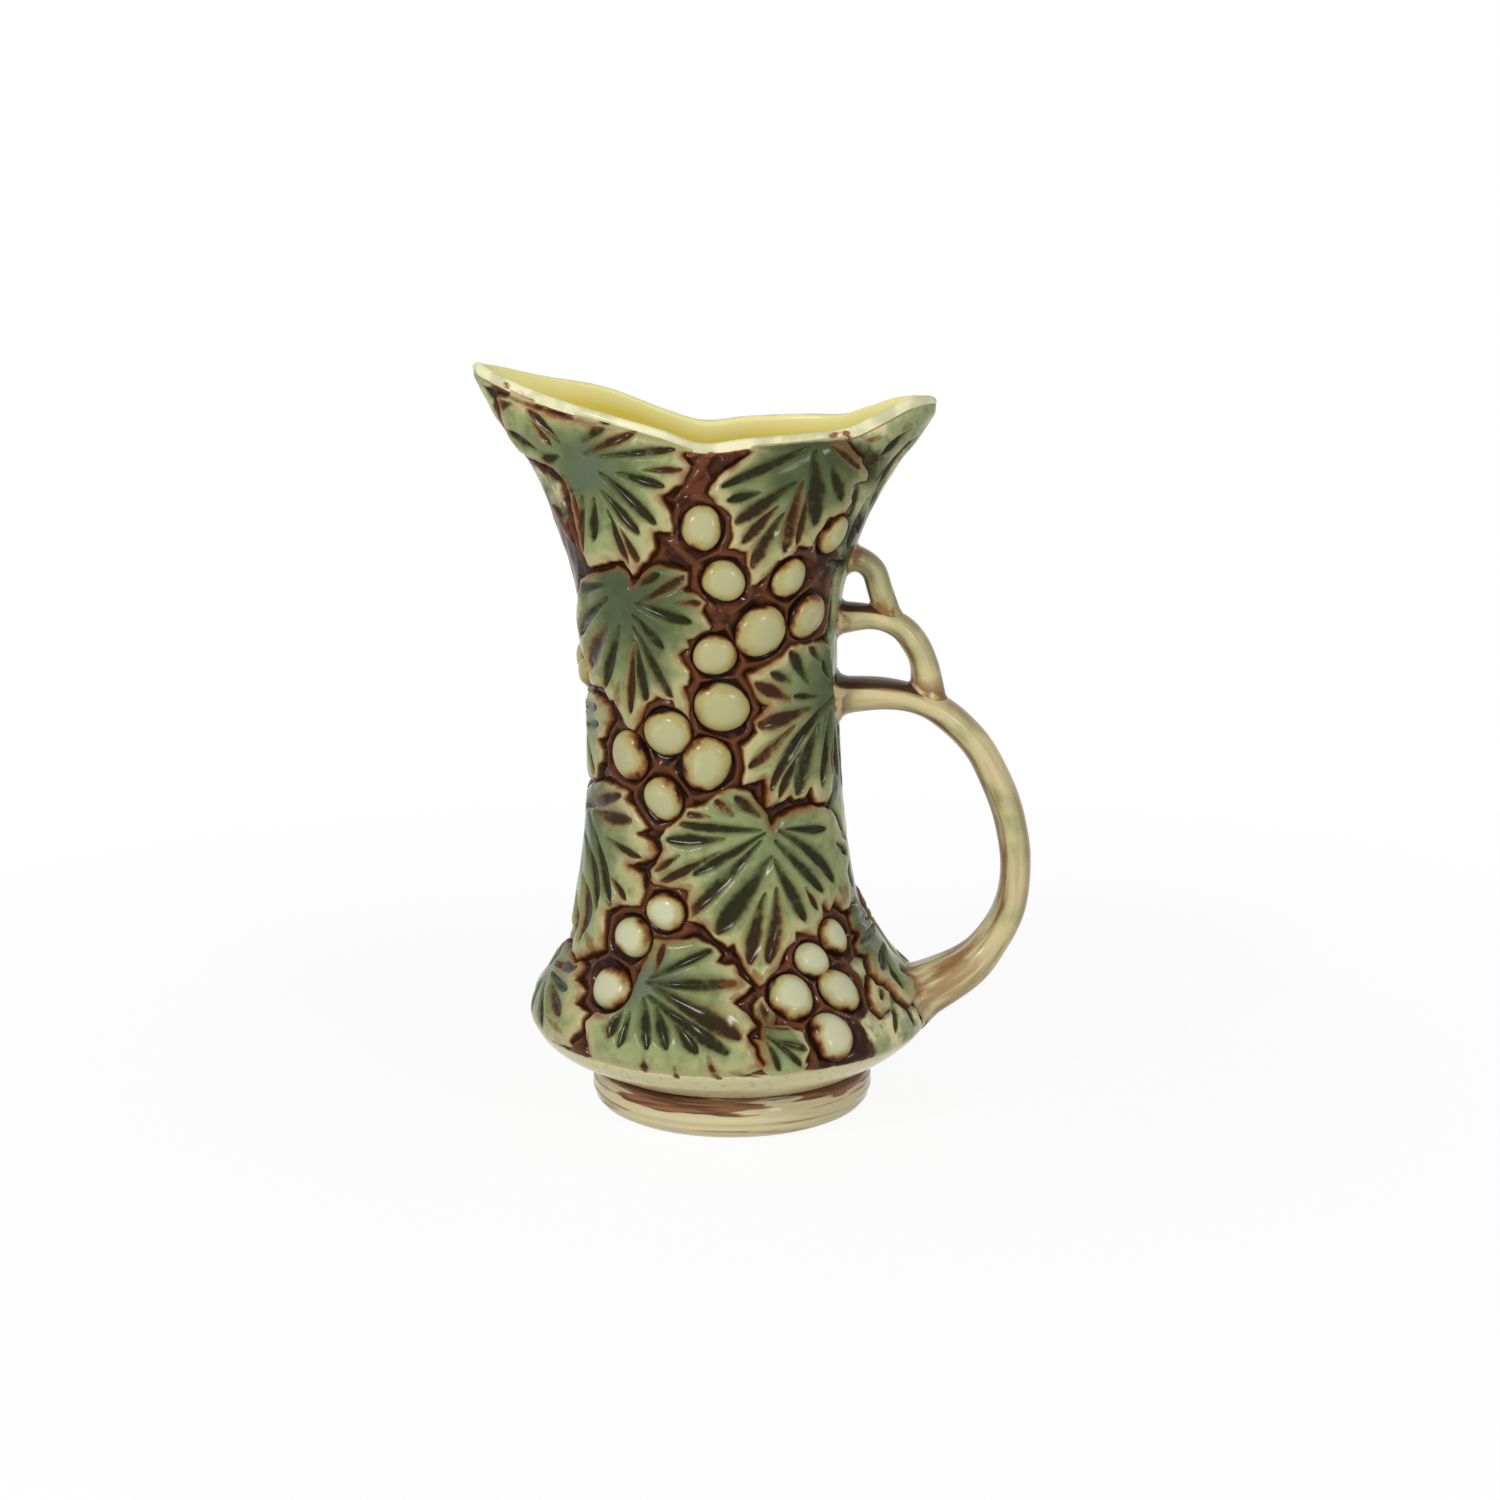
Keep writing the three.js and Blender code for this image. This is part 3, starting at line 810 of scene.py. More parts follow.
class Nodes:
    """Short way to lay out the nodes of one tree."""

    def __init__(self, tree: bpy.types.NodeTree) -> None:
        """Work on one tree."""
        self.tree = tree

    def add(self, kind: str, inputs: dict[str | int, object], **settings: object) -> bpy.types.Node:
        """Add one node.

        Args:
            kind: The shader node's kind.
            inputs: What its sockets get: a number, a colour, a level or another socket.
            settings: The node's own settings.

        Returns:
            The node.
        """
        node = self.tree.nodes.new(f"ShaderNode{kind}")
        for name, value in settings.items():
            setattr(node, name, value)
        for name, value in inputs.items():
            self.join(node.inputs[name], value)
        return node

    def join(self, socket: bpy.types.NodeSocket, value: object) -> None:
        """Set a socket to a number or colour, or link a level or another socket to it.

        Args:
            socket: The socket.
            value: What it gets.
        """
        source = value.socket if isinstance(value, Level) else value
        if isinstance(source, bpy.types.NodeSocket):
            self.tree.links.new(source, socket)
        else:
            socket.default_value = (*source, 1.0) if socket.type == "RGBA" else source

    def sum(self, kind: str, first: Level, second: Level | float) -> Level:
        """Combine two numbers by a named operation."""
        return Level(self, self.add("Math", {0: first, 1: second}, operation=kind).outputs[0])


class Sketch(Nodes):
    """A glaze whose colours are laid over each other, one after another."""

    def __init__(self, name: str, ground: Colour) -> None:
        """Start a material with one glossy shader.

        Args:
            name: Name of the material.
            ground: The colour that the others are laid on.
        """
        self.made = bpy.data.materials.new(name)
        self.made.use_nodes = True
        super().__init__(self.made.node_tree)
        self.colour: Paint = ground

    def mark(self, name: str) -> Level:
        """Read one of the mesh's own marks."""
        return Level(self, self.add("Attribute", {}, attribute_name=name).outputs["Fac"])

    def noise(self, scale: float, detail: float = 3.0, stretch: Triple = (1.0, 1.0, 1.0)) -> Level:
        """Give cloudy noise in the object's own space.

        Args:
            scale: Its scale per metre.
            detail: How many finer layers it has.
            stretch: Its scale along each axis.

        Returns:
            Values about 0.5.
        """
        where = self.add("TexCoord", {}).outputs["Object"]
        mapped = self.add("Mapping", {"Vector": where, "Scale": stretch}).outputs["Vector"]
        node = self.add("TexNoise", {"Vector": mapped, "Scale": scale, "Detail": detail})
        return Level(self, node.outputs["Fac"])

    def drawn(self, along: str, across: str, length: float, width: float) -> Level:
        """Give noise drawn out along one of the mesh's own marks.

        Args:
            along: The mark that streaks run along, in millimetres.
            across: The mark that they lie across, in millimetres.
            length: Length of a streak in millimetres.
            width: Width of a streak in millimetres.

        Returns:
            Values about 0.5.
        """
        run = self.mark(along) * (1 / length)
        where = self.add("CombineXYZ", {0: run, 1: self.mark(across) * (1 / width)})
        node = self.add("TexNoise", {"Vector": where.outputs[0], "Scale": 1.0, "Detail": 3.0})
        return Level(self, node.outputs["Fac"])

    def mix(self, share: Level, first: Paint, second: Paint) -> bpy.types.NodeSocket:
        """Blend two colours."""
        return self.add("Mix", {0: share, 6: first, 7: second}, data_type="RGBA").outputs[2]

    def lay(self, share: Level, colour: Paint) -> None:
        """Lay a share of another colour over the ones so far."""
        self.colour = self.mix(share, self.colour, colour)

    def gloss(self, fine: Level, strength: float, distance: float = 0.0004) -> bpy.types.Material:
        """Finish the material as a glassy glaze.

        Args:
            fine: The fine unevenness of its surface.
            strength: How strong that is.
            distance: How high it is, in metres.

        Returns:
            The material.
        """
        bump = self.add("Bump", {"Strength": strength, "Distance": distance, "Height": fine})
        shader = self.tree.nodes["Principled BSDF"]
        self.join(shader.inputs["Normal"], bump.outputs["Normal"])
        self.join(shader.inputs["Base Color"], self.colour)
        shader.inputs["Roughness"].default_value = GLAZE_ROUGHNESS
        shader.inputs["IOR"].default_value = GLAZE_IOR
        return self.made


@dataclass(frozen=True)
class LeafGlaze:
    """Celadon leaf with a cream margin, a green or milky heart and dark pooled strokes."""

    name: str = "leaf_glaze"
    milk: float = 0.4
    shade: float = 0.4
    margin: float = 6.0
    cloud_scale: float = 90.0
    mottle_scale: float = 210.0
    fine_scale: float = 420.0
    celadon: Colour = (0.31, 0.355, 0.155)
    deep: Colour = (0.036, 0.058, 0.02)
    milky: Colour = (0.12, 0.15, 0.105)
    cream: Colour = (0.50, 0.44, 0.22)
    rust: Colour = (0.20, 0.065, 0.016)
    moss: Colour = (0.17, 0.195, 0.07)
    fern: Colour = (0.105, 0.125, 0.042)
    tan: Colour = (0.31, 0.17, 0.055)
    olive: Colour = (0.060, 0.060, 0.016)
    pool: Colour = (0.018, 0.016, 0.004)
    pool_brown: Colour = (0.036, 0.013, 0.004)

    def material(self) -> bpy.types.Material:
        """Lay the green heart and cream margin, then the strokes, then the rust of the edge.

        Returns:
            The material.
        """
        s = Sketch(self.name, self.celadon)
        cloud = s.noise(self.cloud_scale)
        mottle = s.noise(self.mottle_scale, 4.0)
        fine = s.noise(self.fine_scale, 5.0)
        uneven = cloud * 0.5 + fine * 0.5 - 0.5
        reach = s.mark("heart") + (cloud - 0.5) * 0.6
        s.lay(mottle.ease(0.46, 0.68, 0.6), self.moss)
        s.lay(reach.ease(0.45 + 0.45 * self.shade, 0.05, 0.35 + 0.62 * self.shade), self.deep)
        s.lay(reach.ease(0.3, 0.06, self.milk), self.milky)
        inset = s.mark("inset") + uneven * 6.0
        s.lay(inset.ease(self.margin, 1.0, 0.85) * reach.ease(0.25, 0.6), self.cream)
        joining = s.mark("blend") + uneven * 0.9
        s.lay(joining.ease(0.3, 0.9), self.cream)
        tone = s.mark("brown") + (reach - 0.5) * 0.7
        # The valley band, wider than the pressed stroke, is pooled green glaze together with painted shade
        # of a valley.
        valley = s.mark("valley") + uneven * 1.2
        s.lay(valley.ease(0.1, 1.0, 0.42), s.mix(tone.ease(0.25, 0.8), self.fern, self.tan))
        hollow = s.mark("hollow") * (uneven * 2.6 + 1.0)
        s.lay(hollow.ease(0.0, 0.7, 0.75), s.mix(tone.ease(0.2, 0.75), self.olive, self.rust))
        s.lay(hollow.ease(0.28, 0.92, 0.96), s.mix(tone.ease(0.3, 0.9), self.pool, self.pool_brown))
        stain = s.mark("rust") * (uneven * 2.4 + 1.0)
        s.lay(stain.ease(0.0, 1.15, 0.7), self.rust)
        s.lay(inset.ease(3.4, 0.5, 0.75) * cloud.ease(0.42, 0.58), self.rust)
        edge = s.mark("inset") + uneven * 1.4
        s.lay(edge.ease(0.95, 0.1), self.rust)
        s.lay(edge.ease(0.4, -0.2), self.pool_brown)
        return s.gloss(fine, 0.06)


@dataclass(frozen=True)
class GrapeGlaze:
    """Pale cream-green grape with a painted highlight on its crown, darkening through rust to brown round
    its edge.
    """

    name: str = "grape_glaze"
    cloud_scale: float = 120.0
    fine_scale: float = 520.0
    pale: Colour = (0.445, 0.43, 0.235)
    milk: Colour = (0.565, 0.56, 0.365)
    warm: Colour = (0.40, 0.34, 0.13)
    rust: Colour = (0.22, 0.07, 0.018)
    dark: Colour = (0.026, 0.010, 0.004)

    def material(self) -> bpy.types.Material:
        """Lay the crown's milk and painted highlight, the warm edge and painted shade, then its rust and
        brown.

        Returns:
            The material.
        """
        s = Sketch(self.name, self.pale)
        cloud = s.noise(self.cloud_scale)
        fine = s.noise(self.fine_scale)
        dome = s.mark("dome")
        tone = s.mark("tone")
        edge = dome + (cloud - 0.52) * 1.2 + (fine - 0.5) * 0.08
        # Milky glaze together with a painted highlight: paler towards the crown, in cloudy patches.
        milky = tone.ease(0.6, 0.2) + cloud.ease(0.5, 0.66, 0.6)
        s.lay(milky * dome.ease(0.95, 0.4), self.milk)
        # Warmer tone from the grape's own tone, with painted shade darkening it towards its edge.
        warmth_and_edge_shade = tone * 0.6 + edge.ease(0.4, 0.95)
        s.lay(warmth_and_edge_shade.ease(0.25, 1.25), self.warm)
        s.lay(edge.ease(0.78, 1.0), self.rust)
        s.lay(edge.ease(0.95, 1.08), self.dark)
        s.lay(dome.ease(0.98, 1.04), self.dark)
        return s.gloss(fine, 0.05, 0.0003)


@dataclass(frozen=True)
class BodyGlaze:
    """Red-brown ground with dark creases, pale band and rim, and a yellow inside."""

    name: str = "body_glaze"
    cloud_scale: float = 70.0
    lip_scale: float = 110.0
    mottle_scale: float = 190.0
    patch_scale: float = 300.0
    fine_scale: float = 380.0
    ground: Colour = (0.028, 0.010, 0.005)
    red: Colour = (0.115, 0.034, 0.013)
    dark: Colour = (0.010, 0.005, 0.003)
    crest: Colour = (0.16, 0.055, 0.02)
    green: Colour = (0.055, 0.066, 0.022)
    cream: Colour = (0.68, 0.62, 0.35)
    celadon: Colour = (0.31, 0.35, 0.17)
    rust: Colour = (0.24, 0.072, 0.016)
    pool: Colour = (0.018, 0.016, 0.006)
    pool_brown: Colour = (0.05, 0.017, 0.006)
    yellow: Colour = (0.72, 0.585, 0.075)
    pale_yellow: Colour = (0.90, 0.83, 0.37)
    lip: Colour = (0.84, 0.79, 0.51)

    def material(self) -> bpy.types.Material:
        """Lay the ground, then the bare wall, the lip, the strokes and stains, and last the inside.

        Returns:
            The material.
        """
        s = Sketch(self.name, self.ground)
        cloud = s.noise(self.cloud_scale)
        fine = s.noise(self.fine_scale)
        mottle = s.noise(self.mottle_scale, 4.0)
        uneven = cloud * 0.6 + fine * 0.4 - 0.5
        s.lay(mottle.ease(0.4, 0.64), self.red)
        green = s.mark("green") + uneven * 0.8
        s.lay(green.ease(0.4, 0.8), s.mix(cloud.ease(0.42, 0.62), self.green, self.celadon))
        clear = s.mark("clear") + uneven * 1.6
        s.lay(clear.ease(2.2, 0.1, 0.92), self.dark)
        s.lay(s.mark("ridge").ease(0.35, 1.0, 0.55), self.crest)
        bare = s.mark("bare") + uneven * 1.5
        pale = s.mix(cloud.ease(0.5, 0.66), self.celadon, self.cream)
        pale = s.mix(mottle.ease(0.52, 0.64, 0.35), pale, self.pool_brown)
        pale = s.mix(s.mark("band"), pale, self.cream)
        pale = s.mix(fine.ease(0.55, 0.72, 0.3), pale, self.rust)
        s.lay(bare.ease(0.3, 0.7), pale)
        rim = s.mark("rim") + uneven * 0.7
        blotch = s.noise(self.lip_scale).ease(0.42, 0.62, 0.45)
        s.lay(rim.ease(0.3, 0.8), s.mix(blotch, self.lip, self.celadon))
        s.lay(rim.ease(0.05, 0.3, 0.8) * rim.ease(0.75, 0.4) * cloud.ease(0.44, 0.56), self.rust)
        hollow = s.mark("hollow") + uneven * 0.5
        s.lay(hollow.ease(0.1, 0.5, 0.6), self.pool_brown)
        pool = s.mix(s.mark("brown").ease(0.3, 0.9), self.pool, self.pool_brown)
        s.lay(hollow.ease(0.36, 0.8, 0.92), pool)
        patchy = (s.noise(self.patch_scale, 4.0) - 0.5) * 7.0
        stain = s.mark("rust") * (patchy + 0.9)
        s.lay(stain.ease(0.2, 1.0, 0.9), self.rust)
        s.lay(s.mark("inside"), s.mix(s.mark("depth"), self.pale_yellow, self.yellow))
        return s.gloss(fine, 0.06)


@dataclass(frozen=True)
class HandleGlaze:
    """Cream to pale green glaze with rust in the joints and in streaks along the arch."""

    name: str = "handle_glaze"
    green: float = 0.4
    worn_from: float = 400.0
    worn_over: float = 60.0
    streak_length: float = 24.0
    streak_width: float = 2.6
    cloud_scale: float = 60.0
    blotch_scale: float = 170.0
    fine_scale: float = 360.0
    cream: Colour = (0.62, 0.53, 0.285)
    celadon: Colour = (0.43, 0.43, 0.22)
    rust: Colour = (0.22, 0.075, 0.02)
    dark: Colour = (0.03, 0.016, 0.008)

    def material(self) -> bpy.types.Material:
        """Lay the green clouds, the rust of streaks and joints, then pooled glaze and painted shade in the
        upper corners.

        Returns:
            The material.
        """
        s = Sketch(self.name, self.cream)
        cloud = s.noise(self.cloud_scale)
        fine = s.noise(self.fine_scale)
        streak = s.drawn("run", "round", self.streak_length, self.streak_width)
        blotch = s.noise(self.blotch_scale)
        inner = s.mark("inner")
        root = s.mark("root")
        s.lay(cloud.ease(0.72 - 0.5 * self.green, 0.85 - 0.4 * self.green), self.celadon)
        s.lay(streak.ease(0.5, 0.7, 0.22), self.rust)
        lines = inner + (cloud - 0.5) * 2.0
        s.lay(lines.ease(0.2, 0.95, 0.85) * streak.ease(0.38, 0.56), self.rust)
        worn = s.mark("run").ease(self.worn_from, self.worn_from + self.worn_over, 0.6)
        s.lay(worn * streak.ease(0.44, 0.62), self.rust)
        s.lay(inner.ease(-0.3, -0.95, 0.5) * cloud.ease(0.4, 0.58), self.rust)
        s.lay(root.ease(6.5, 1.0, 0.85) * blotch.ease(0.44, 0.57), self.rust)
        # The shelf mark paints shade, together with pooled glaze, on the upper face between the wall and
        # the next arch.
        shelf = s.mark("shelf") + (streak - 0.5) * 0.9
        s.lay(shelf.ease(0.15, 0.45, 0.8), self.rust)
        s.lay(shelf.ease(0.4, 0.7, 0.85), self.dark)
        s.lay(root.ease(0.7, 0.1, 0.8) * inner.ease(0.2, 0.8), self.dark)
        return s.gloss(fine, 0.08)


@dataclass(frozen=True)
class FootGlaze:
    """Cream foot with level brown streaks and a dark crease under the body, partly painted shade."""

    name: str = "foot_glaze"
    cloud_scale: float = 45.0
    fine_scale: float = 380.0
    streak_scale: Triple = (33.0, 33.0, 670.0)
    broad_scale: Triple = (24.0, 24.0, 200.0)
    cream: Colour = (0.62, 0.55, 0.34)
    rust: Colour = (0.21, 0.058, 0.013)
    dark: Colour = (0.045, 0.014, 0.005)
    clay: Colour = (0.62, 0.52, 0.38)

    def material(self) -> bpy.types.Material:
        """Lay the streaks, the stain and the crease's brown and painted shade over them, and bare clay on
        the resting rim.

        Returns:
            The material.
        """
        s = Sketch(self.name, self.cream)
        cloud = s.noise(self.cloud_scale)
        fine = s.noise(self.fine_scale)
        streak = s.noise(1.0, stretch=self.streak_scale)
        broad = s.noise(1.0, stretch=self.broad_scale)
        s.lay(streak.ease(0.56, 0.68, 0.7), self.rust)
        up = s.mark("up") + (broad - 0.5) * 36.0
        stained = up.ease(9.4, 11.0, 0.85)
        s.lay(stained, self.rust)
        s.lay(stained * streak.ease(0.46, 0.6, 0.8), self.dark)
        # A dark brown line along the top: brown glaze together with painted shade under the body's
        # overhang.
        high = s.mark("up") + (cloud - 0.5) * 5.0
        s.lay(high.ease(12.0, 13.2, 0.7), self.dark)
        s.lay(s.mark("bare"), self.clay)
        return s.gloss(fine, 0.08)


@dataclass
class Body:
    """The hollow body: wall, ground relief between the sprigs, rim, inside and floor."""

    wall: Wall
    leaves: list[VineLeaf]
    grapes: list[Grape]
    floor: float = 5.0
    columns: int = 500
    rows: int = 390
    inner_rows: int = 70
    root_height: float = 34.0
    rim_round: float = 0.9
    rim_over: Span = (0.0, 3.0)
    rim_glaze: Span = (0.2, 1.7)
    rim_quiet: Span = (0.5, 3.0)
    lip_steps: int = 12
    lowest: float = 0.068
    inside_from: Span = (0.55, 0.9)
    yellow_from: Span = (0.0, 0.035)
    pale_ends: float = 0.65
    stain_ends: Span = (0.1, 0.4)
    twig_edge: Span = (0.2, 1.2)
    mark_reach: float = 60.0
    front_middle: Span = (270.0, 100.0)
    ground_height: float = 1.0
    crease: float = 0.85
    crease_over: Span = (0.0, 2.4)
    crease_quiet: float = 6.0
    swell: float = 0.12
    swell_size: float = 7.0
    swell_seed: float = 2.0
    ridge_height: float = 0.75
    ridge_width: float = 1.3
    ridge_from: Span = (0.3, 1.3)
    ridge_reach: Span = (2.5, 5.0)
    band_top: Span = (25.5, 28.0)
    root_reach: Span = (44.0, 52.0)
    root_top: Span = (52.0, 64.0)
    root_clear: Span = (2.0, 6.0)
    open_share: float = 0.76
    open_heights: Span = (150.0, 222.0)
    open_clear: Span = (1.0, 5.0)
    notch: float = 92.0
    notch_reach: Span = (18.0, 30.0)
    green_reach: Span = (20.0, 36.0)
    green_heights: Span = (46.0, 58.0)
    green_more: float = 24.0
    green_widens: Span = (172.0, 190.0)
    node: str = "body_shell"

    def ground(self, angle: Array, height: Array) -> dict[str, Array]:
        """Work out the ground's relief and marks between the sprigs.

        Args:
            angle: Angles of places on the wall.
            height: Their heights.

        Returns:
            The lift in millimetres and the marks for the glaze.
        """
        clear = np.full(angle.shape, FAR)
        for leaf in self.leaves:
            clear = np.minimum(clear, -leaf.inset(angle, height))
        first = np.full(angle.shape, FAR)
        second = np.full(angle.shape, FAR)
        for grape in self.grapes:
            around, upward = self.wall.local(grape.angle, grape.height, angle, height)
            gap = np.hypot(around, upward) - grape.radius
            second = np.minimum(second, np.maximum(first, gap))
            first = np.minimum(first, gap)
        second = np.minimum(second, np.maximum(clear, first))
        ridge = np.exp(-(((second - first) / self.ridge_width) ** 2))
        ridge = ridge * (1 - ease(*self.ridge_reach, first)) * ease(*self.ridge_from, first)
        clear = np.minimum(clear, first)
        marks = self.marked(angle, height)
        ridge = np.maximum(ridge, marks["twig"])
        to_rim = self.wall.rim(angle) - height
        to_crest = to_rim - self.wall.lip
        rim = 1 - ease(*self.rim_glaze, to_crest)
        band = 1 - ease(*self.band_top, height)
        quiet = np.maximum(1 - ease(*self.rim_quiet, to_crest), band)
        around, upward = self.wall.local(*self.front_middle, angle, height)
        lift = self.ground_height * ease(*self.crease_over, clear) - self.crease + self.ridge_height * ridge
        lift = lift + self.swell * ripple(around, upward, self.swell_size, self.swell_seed)
        lift = lift * (1 - quiet) - marks["deep"] - self.rim_round * (1 - ease(*self.rim_over, to_crest))
        from_handle = 180 - np.abs(np.mod(angle, 360.0) - 180)
        around, upward = self.wall.local(0.0, self.root_height, angle, height)
        root = (1 - ease(*self.root_reach, np.hypot(around, upward))) * (1 - ease(*self.root_top, height))
        open_top = self.open_share * ease(*self.open_heights, height) * ease(*self.open_clear, clear)
        open_top = open_top * ease(*self.notch_reach, np.abs(from_handle - self.notch))
        bare = np.maximum(np.maximum(open_top, root * ease(*self.root_clear, first)), band)
        widen = self.green_more * ease(*self.green_widens, height)
        green = (1 - ease(*self.green_reach, from_handle - widen)) * ease(*self.green_heights, height)
        clear = clear + self.crease_quiet * quiet
        return {"lift": lift, "clear": clear, "ridge": ridge, "bare": bare, "rim": rim, "band": band,
                "green": green, "hollow": marks["hollow"], "brown": marks["brown"], "rust": marks["rust"]}

    def marked(self, angle: Array, height: Array) -> dict[str, Array]:
        """Work out the strokes, stains and raised twigs that lie on the wall itself.

        Args:
            angle: Angles of places on the wall.
            height: Their heights.

        Returns:
            How deep the clay is pressed, the marks of dark, brown and rust, and the twigs.
        """
        marks = {name: np.zeros(angle.shape) for name in ("deep", "hollow", "brown", "rust", "twig")}
        for place_angle, place_height, pressed, twigs in WALL_MARKS:
            for sign in (1, -1):
                start = place_angle if sign > 0 else 360 - place_angle
                around, upward = self.wall.local(start, place_height, angle, height)
                near = np.hypot(around, upward) < self.mark_reach
                x, y = around[near] * sign, upward[near]
                worked = press(pressed, x, y)
                for name in ("deep", "hollow", "brown", "rust"):
                    marks[name][near] = np.maximum(marks[name][near], worked[name])
                for twig in twigs:
                    raised = 1 - ease(*self.twig_edge, twig.nearness(x, y)[0])
                    marks["twig"][near] = np.maximum(marks["twig"][near], raised)
        return marks

    def build(self, finish: BodyGlaze) -> bpy.types.Object:
        """Make the body as one closed mesh.

        Args:
            finish: The glazes that it wears.

        Returns:
            The body's object.
        """
        wall = self.wall
        turn = np.linspace(0, 360, self.columns, endpoint=False)
        share = np.linspace(0, 1, self.rows)[:, None]
        crest = wall.rim(turn) - wall.lip
        height = wall.seat + (crest - wall.seat) * share
        angle = np.broadcast_to(turn, height.shape)
        marks = self.ground(angle, height)
        outer = wall.raised(angle, height, marks.pop("lift"))
        down = np.linspace(1, self.lowest, self.inner_rows)[:, None]
        inner = self.inside(turn, down * (crest - wall.seat) + wall.seat)
        lip = self.lip_rows(outer[-1], inner[0], wall.rim(turn))
        disc = inner[-1][None] * np.array([1, 1, 0])
        shrink = np.array([0.97, 0.92, 0.86, 0.5, 0.1])[:, None, None]
        level = np.array([0.5, 0.2, 0.02, 0.0, 0.0])[:, None, None]
        low = wall.seat + self.floor
        floor = disc * shrink + np.array([0, 0, 1]) * (low + (inner[-1][None, :, 2:] - low) * level)
        base = outer[0][None] * np.array([[[0.1, 0.1, 1]], [[0.7, 0.7, 1]]])
        rings = np.concatenate([base, outer, lip, inner, floor])
        extra = len(lip) + len(inner) + len(floor)
        room = ((len(base), extra), (0, 0))
        values = {name: np.pad(table, room, "edge") for name, table in marks.items()}
        inside = np.concatenate([np.linspace(0, 1, len(lip)), np.ones(len(inner) + len(floor))])
        for name in ("rust", "hollow"):
            values[name][-extra:] *= 1 - ease(*self.stain_ends, inside)[:, None]
        values["inside"] = np.zeros(values["rim"].shape)
        values["inside"][-extra:] = ease(*self.inside_from, inside)[:, None]
        below = np.concatenate([np.zeros(len(lip)), np.linspace(0, 1, len(inner)), np.ones(len(floor))])
        values["depth"] = np.zeros(values["rim"].shape)
        ends = np.abs(np.cos(np.radians(turn))) ** 6
        values["depth"][-extra:] = ease(*self.yellow_from, below)[:, None] * (1 - self.pale_ends * ends)
        return place(capped(wall.to_scene(rings), values), self.node, finish.material())

    def inside(self, turn: Array, height: Array) -> Array:
        """Draw the outer face in by the wall's thickness.

        Args:
            turn: Degrees round from the handle.
            height: Millimetres over the resting surface.

        Returns:
            Points of the inner face in millimetres about the foot's axis.
        """
        angle = np.broadcast_to(turn, height.shape)
        outer = self.wall.point_at(angle, height)
        upward = self.wall.point_at(angle, height + NUDGE) - self.wall.point_at(angle, height - NUDGE)
        spout, handle = (smooth(self.wall.heights, c, height) for c in self.wall.columns[:2])
        inward = np.stack([(handle - spout) / 2 - outer[..., 0], -outer[..., 1]], axis=-1)
        inward /= np.linalg.norm(inward, axis=-1, keepdims=True)
        slope = -(inward * upward[..., :2] / (2 * NUDGE)).sum(-1)
        inner = outer.copy()
        inner[..., :2] += inward * (self.wall.thickness * np.hypot(1, slope))[..., None]
        return inner

    def lip_rows(self, outer: Array, inner: Array, crest: Array) -> Array:
        """Round the rim over its crest.

        Args:
            outer: The last ring of the outer face.
            inner: The first ring of the inner face.
            crest: Heights of the crest.

        Returns:
            The rings from the outer face to the inner one.
        """
        rows = []
        for k in range(1, self.lip_steps):
            turn = math.pi * k / self.lip_steps
            across = (1 - math.cos(turn)) / 2
            row = outer * (1 - across) + inner * across
            row[:, 2] += (crest - row[:, 2]) * math.sin(turn)
            rows.append(row)
        return np.array(rows)


@dataclass
class Foot:
    """The foot ring, rounded like a turned band, with a narrow bare resting rim."""

    wall: Wall
    height: float = 13.2
    radius: float = 43.3
    top_radius: float = 42.4
    rest_radius: float = 39.0
    rest_width: float = 3.5
    rest_round: float = 0.6
    toe_radius: float = 41.6
    ring_width: float = 9.5
    chamfer: float = 0.4
    inner_heights: Span = (9.0, 5.0)
    groove: float = 0.16
    grooves: float = 4.5
    band_steps: int = 60
    sides: int = 240
    node: str = "foot_ring"

    def build(self, finish: FootGlaze) -> bpy.types.Object:
        """Make the ring as one closed mesh.

        Args:
            finish: The glaze that it wears.

        Returns:
            The foot's object.
        """
        hollow = self.radius - self.ring_width
        places = np.array([0, 0.12, 0.4, 0.7, 1.0])
        radii = np.array([self.rest_radius, self.toe_radius, self.radius, self.radius, self.top_radius])
        share = np.linspace(0, 1, self.band_steps)
        turned = self.groove * np.cos(2 * np.pi * share * self.grooves) * ease(0.12, 0.3, share)
        band = np.stack([smooth(places, radii, share) - self.groove + turned, share * self.height], axis=-1)
        rest = self.rest_radius - self.rest_width
        inner = np.array([[hollow, self.height], *([hollow, height] for height in self.inner_heights),
                          [rest - self.chamfer, self.chamfer], [rest, 0.0],
                          [self.rest_radius - self.rest_round, 0.0]])
        profile = np.concatenate([band, inner])
        bare = np.concatenate([np.zeros(len(band)), [0, 0, 0, 0.6, 1.0, 1.0]])
        bare[0] = 0.8
        up = np.concatenate([share * self.height, np.zeros(len(inner))])
        turns = np.linspace(0, 2 * np.pi, self.sides, endpoint=False)
        radius, height = profile[:, :1], np.repeat(profile[:, 1:], self.sides, 1)
        points = np.stack([radius * np.cos(turns), radius * np.sin(turns), height], axis=-1)
        marks = {name: np.repeat(row[:, None], self.sides, 1) for name, row in (("bare", bare), ("up", up))}
        return place(banded(self.wall.to_scene(points), marks), self.node, finish.material())


def welded(first: Array, second: Array, reach: float) -> Array:
    """Blend two distances so that clay fills the corner between them.

    Args:
        first: Millimetres from one surface.
        second: Millimetres from the other.
        reach: How far the clay reaches out of the corner, in millimetres.

    Returns:
        Millimetres from the filled surface.
    """
    share = np.maximum(reach - np.abs(first - second), 0) / reach
    return np.minimum(first, second) - share * share * reach / 4


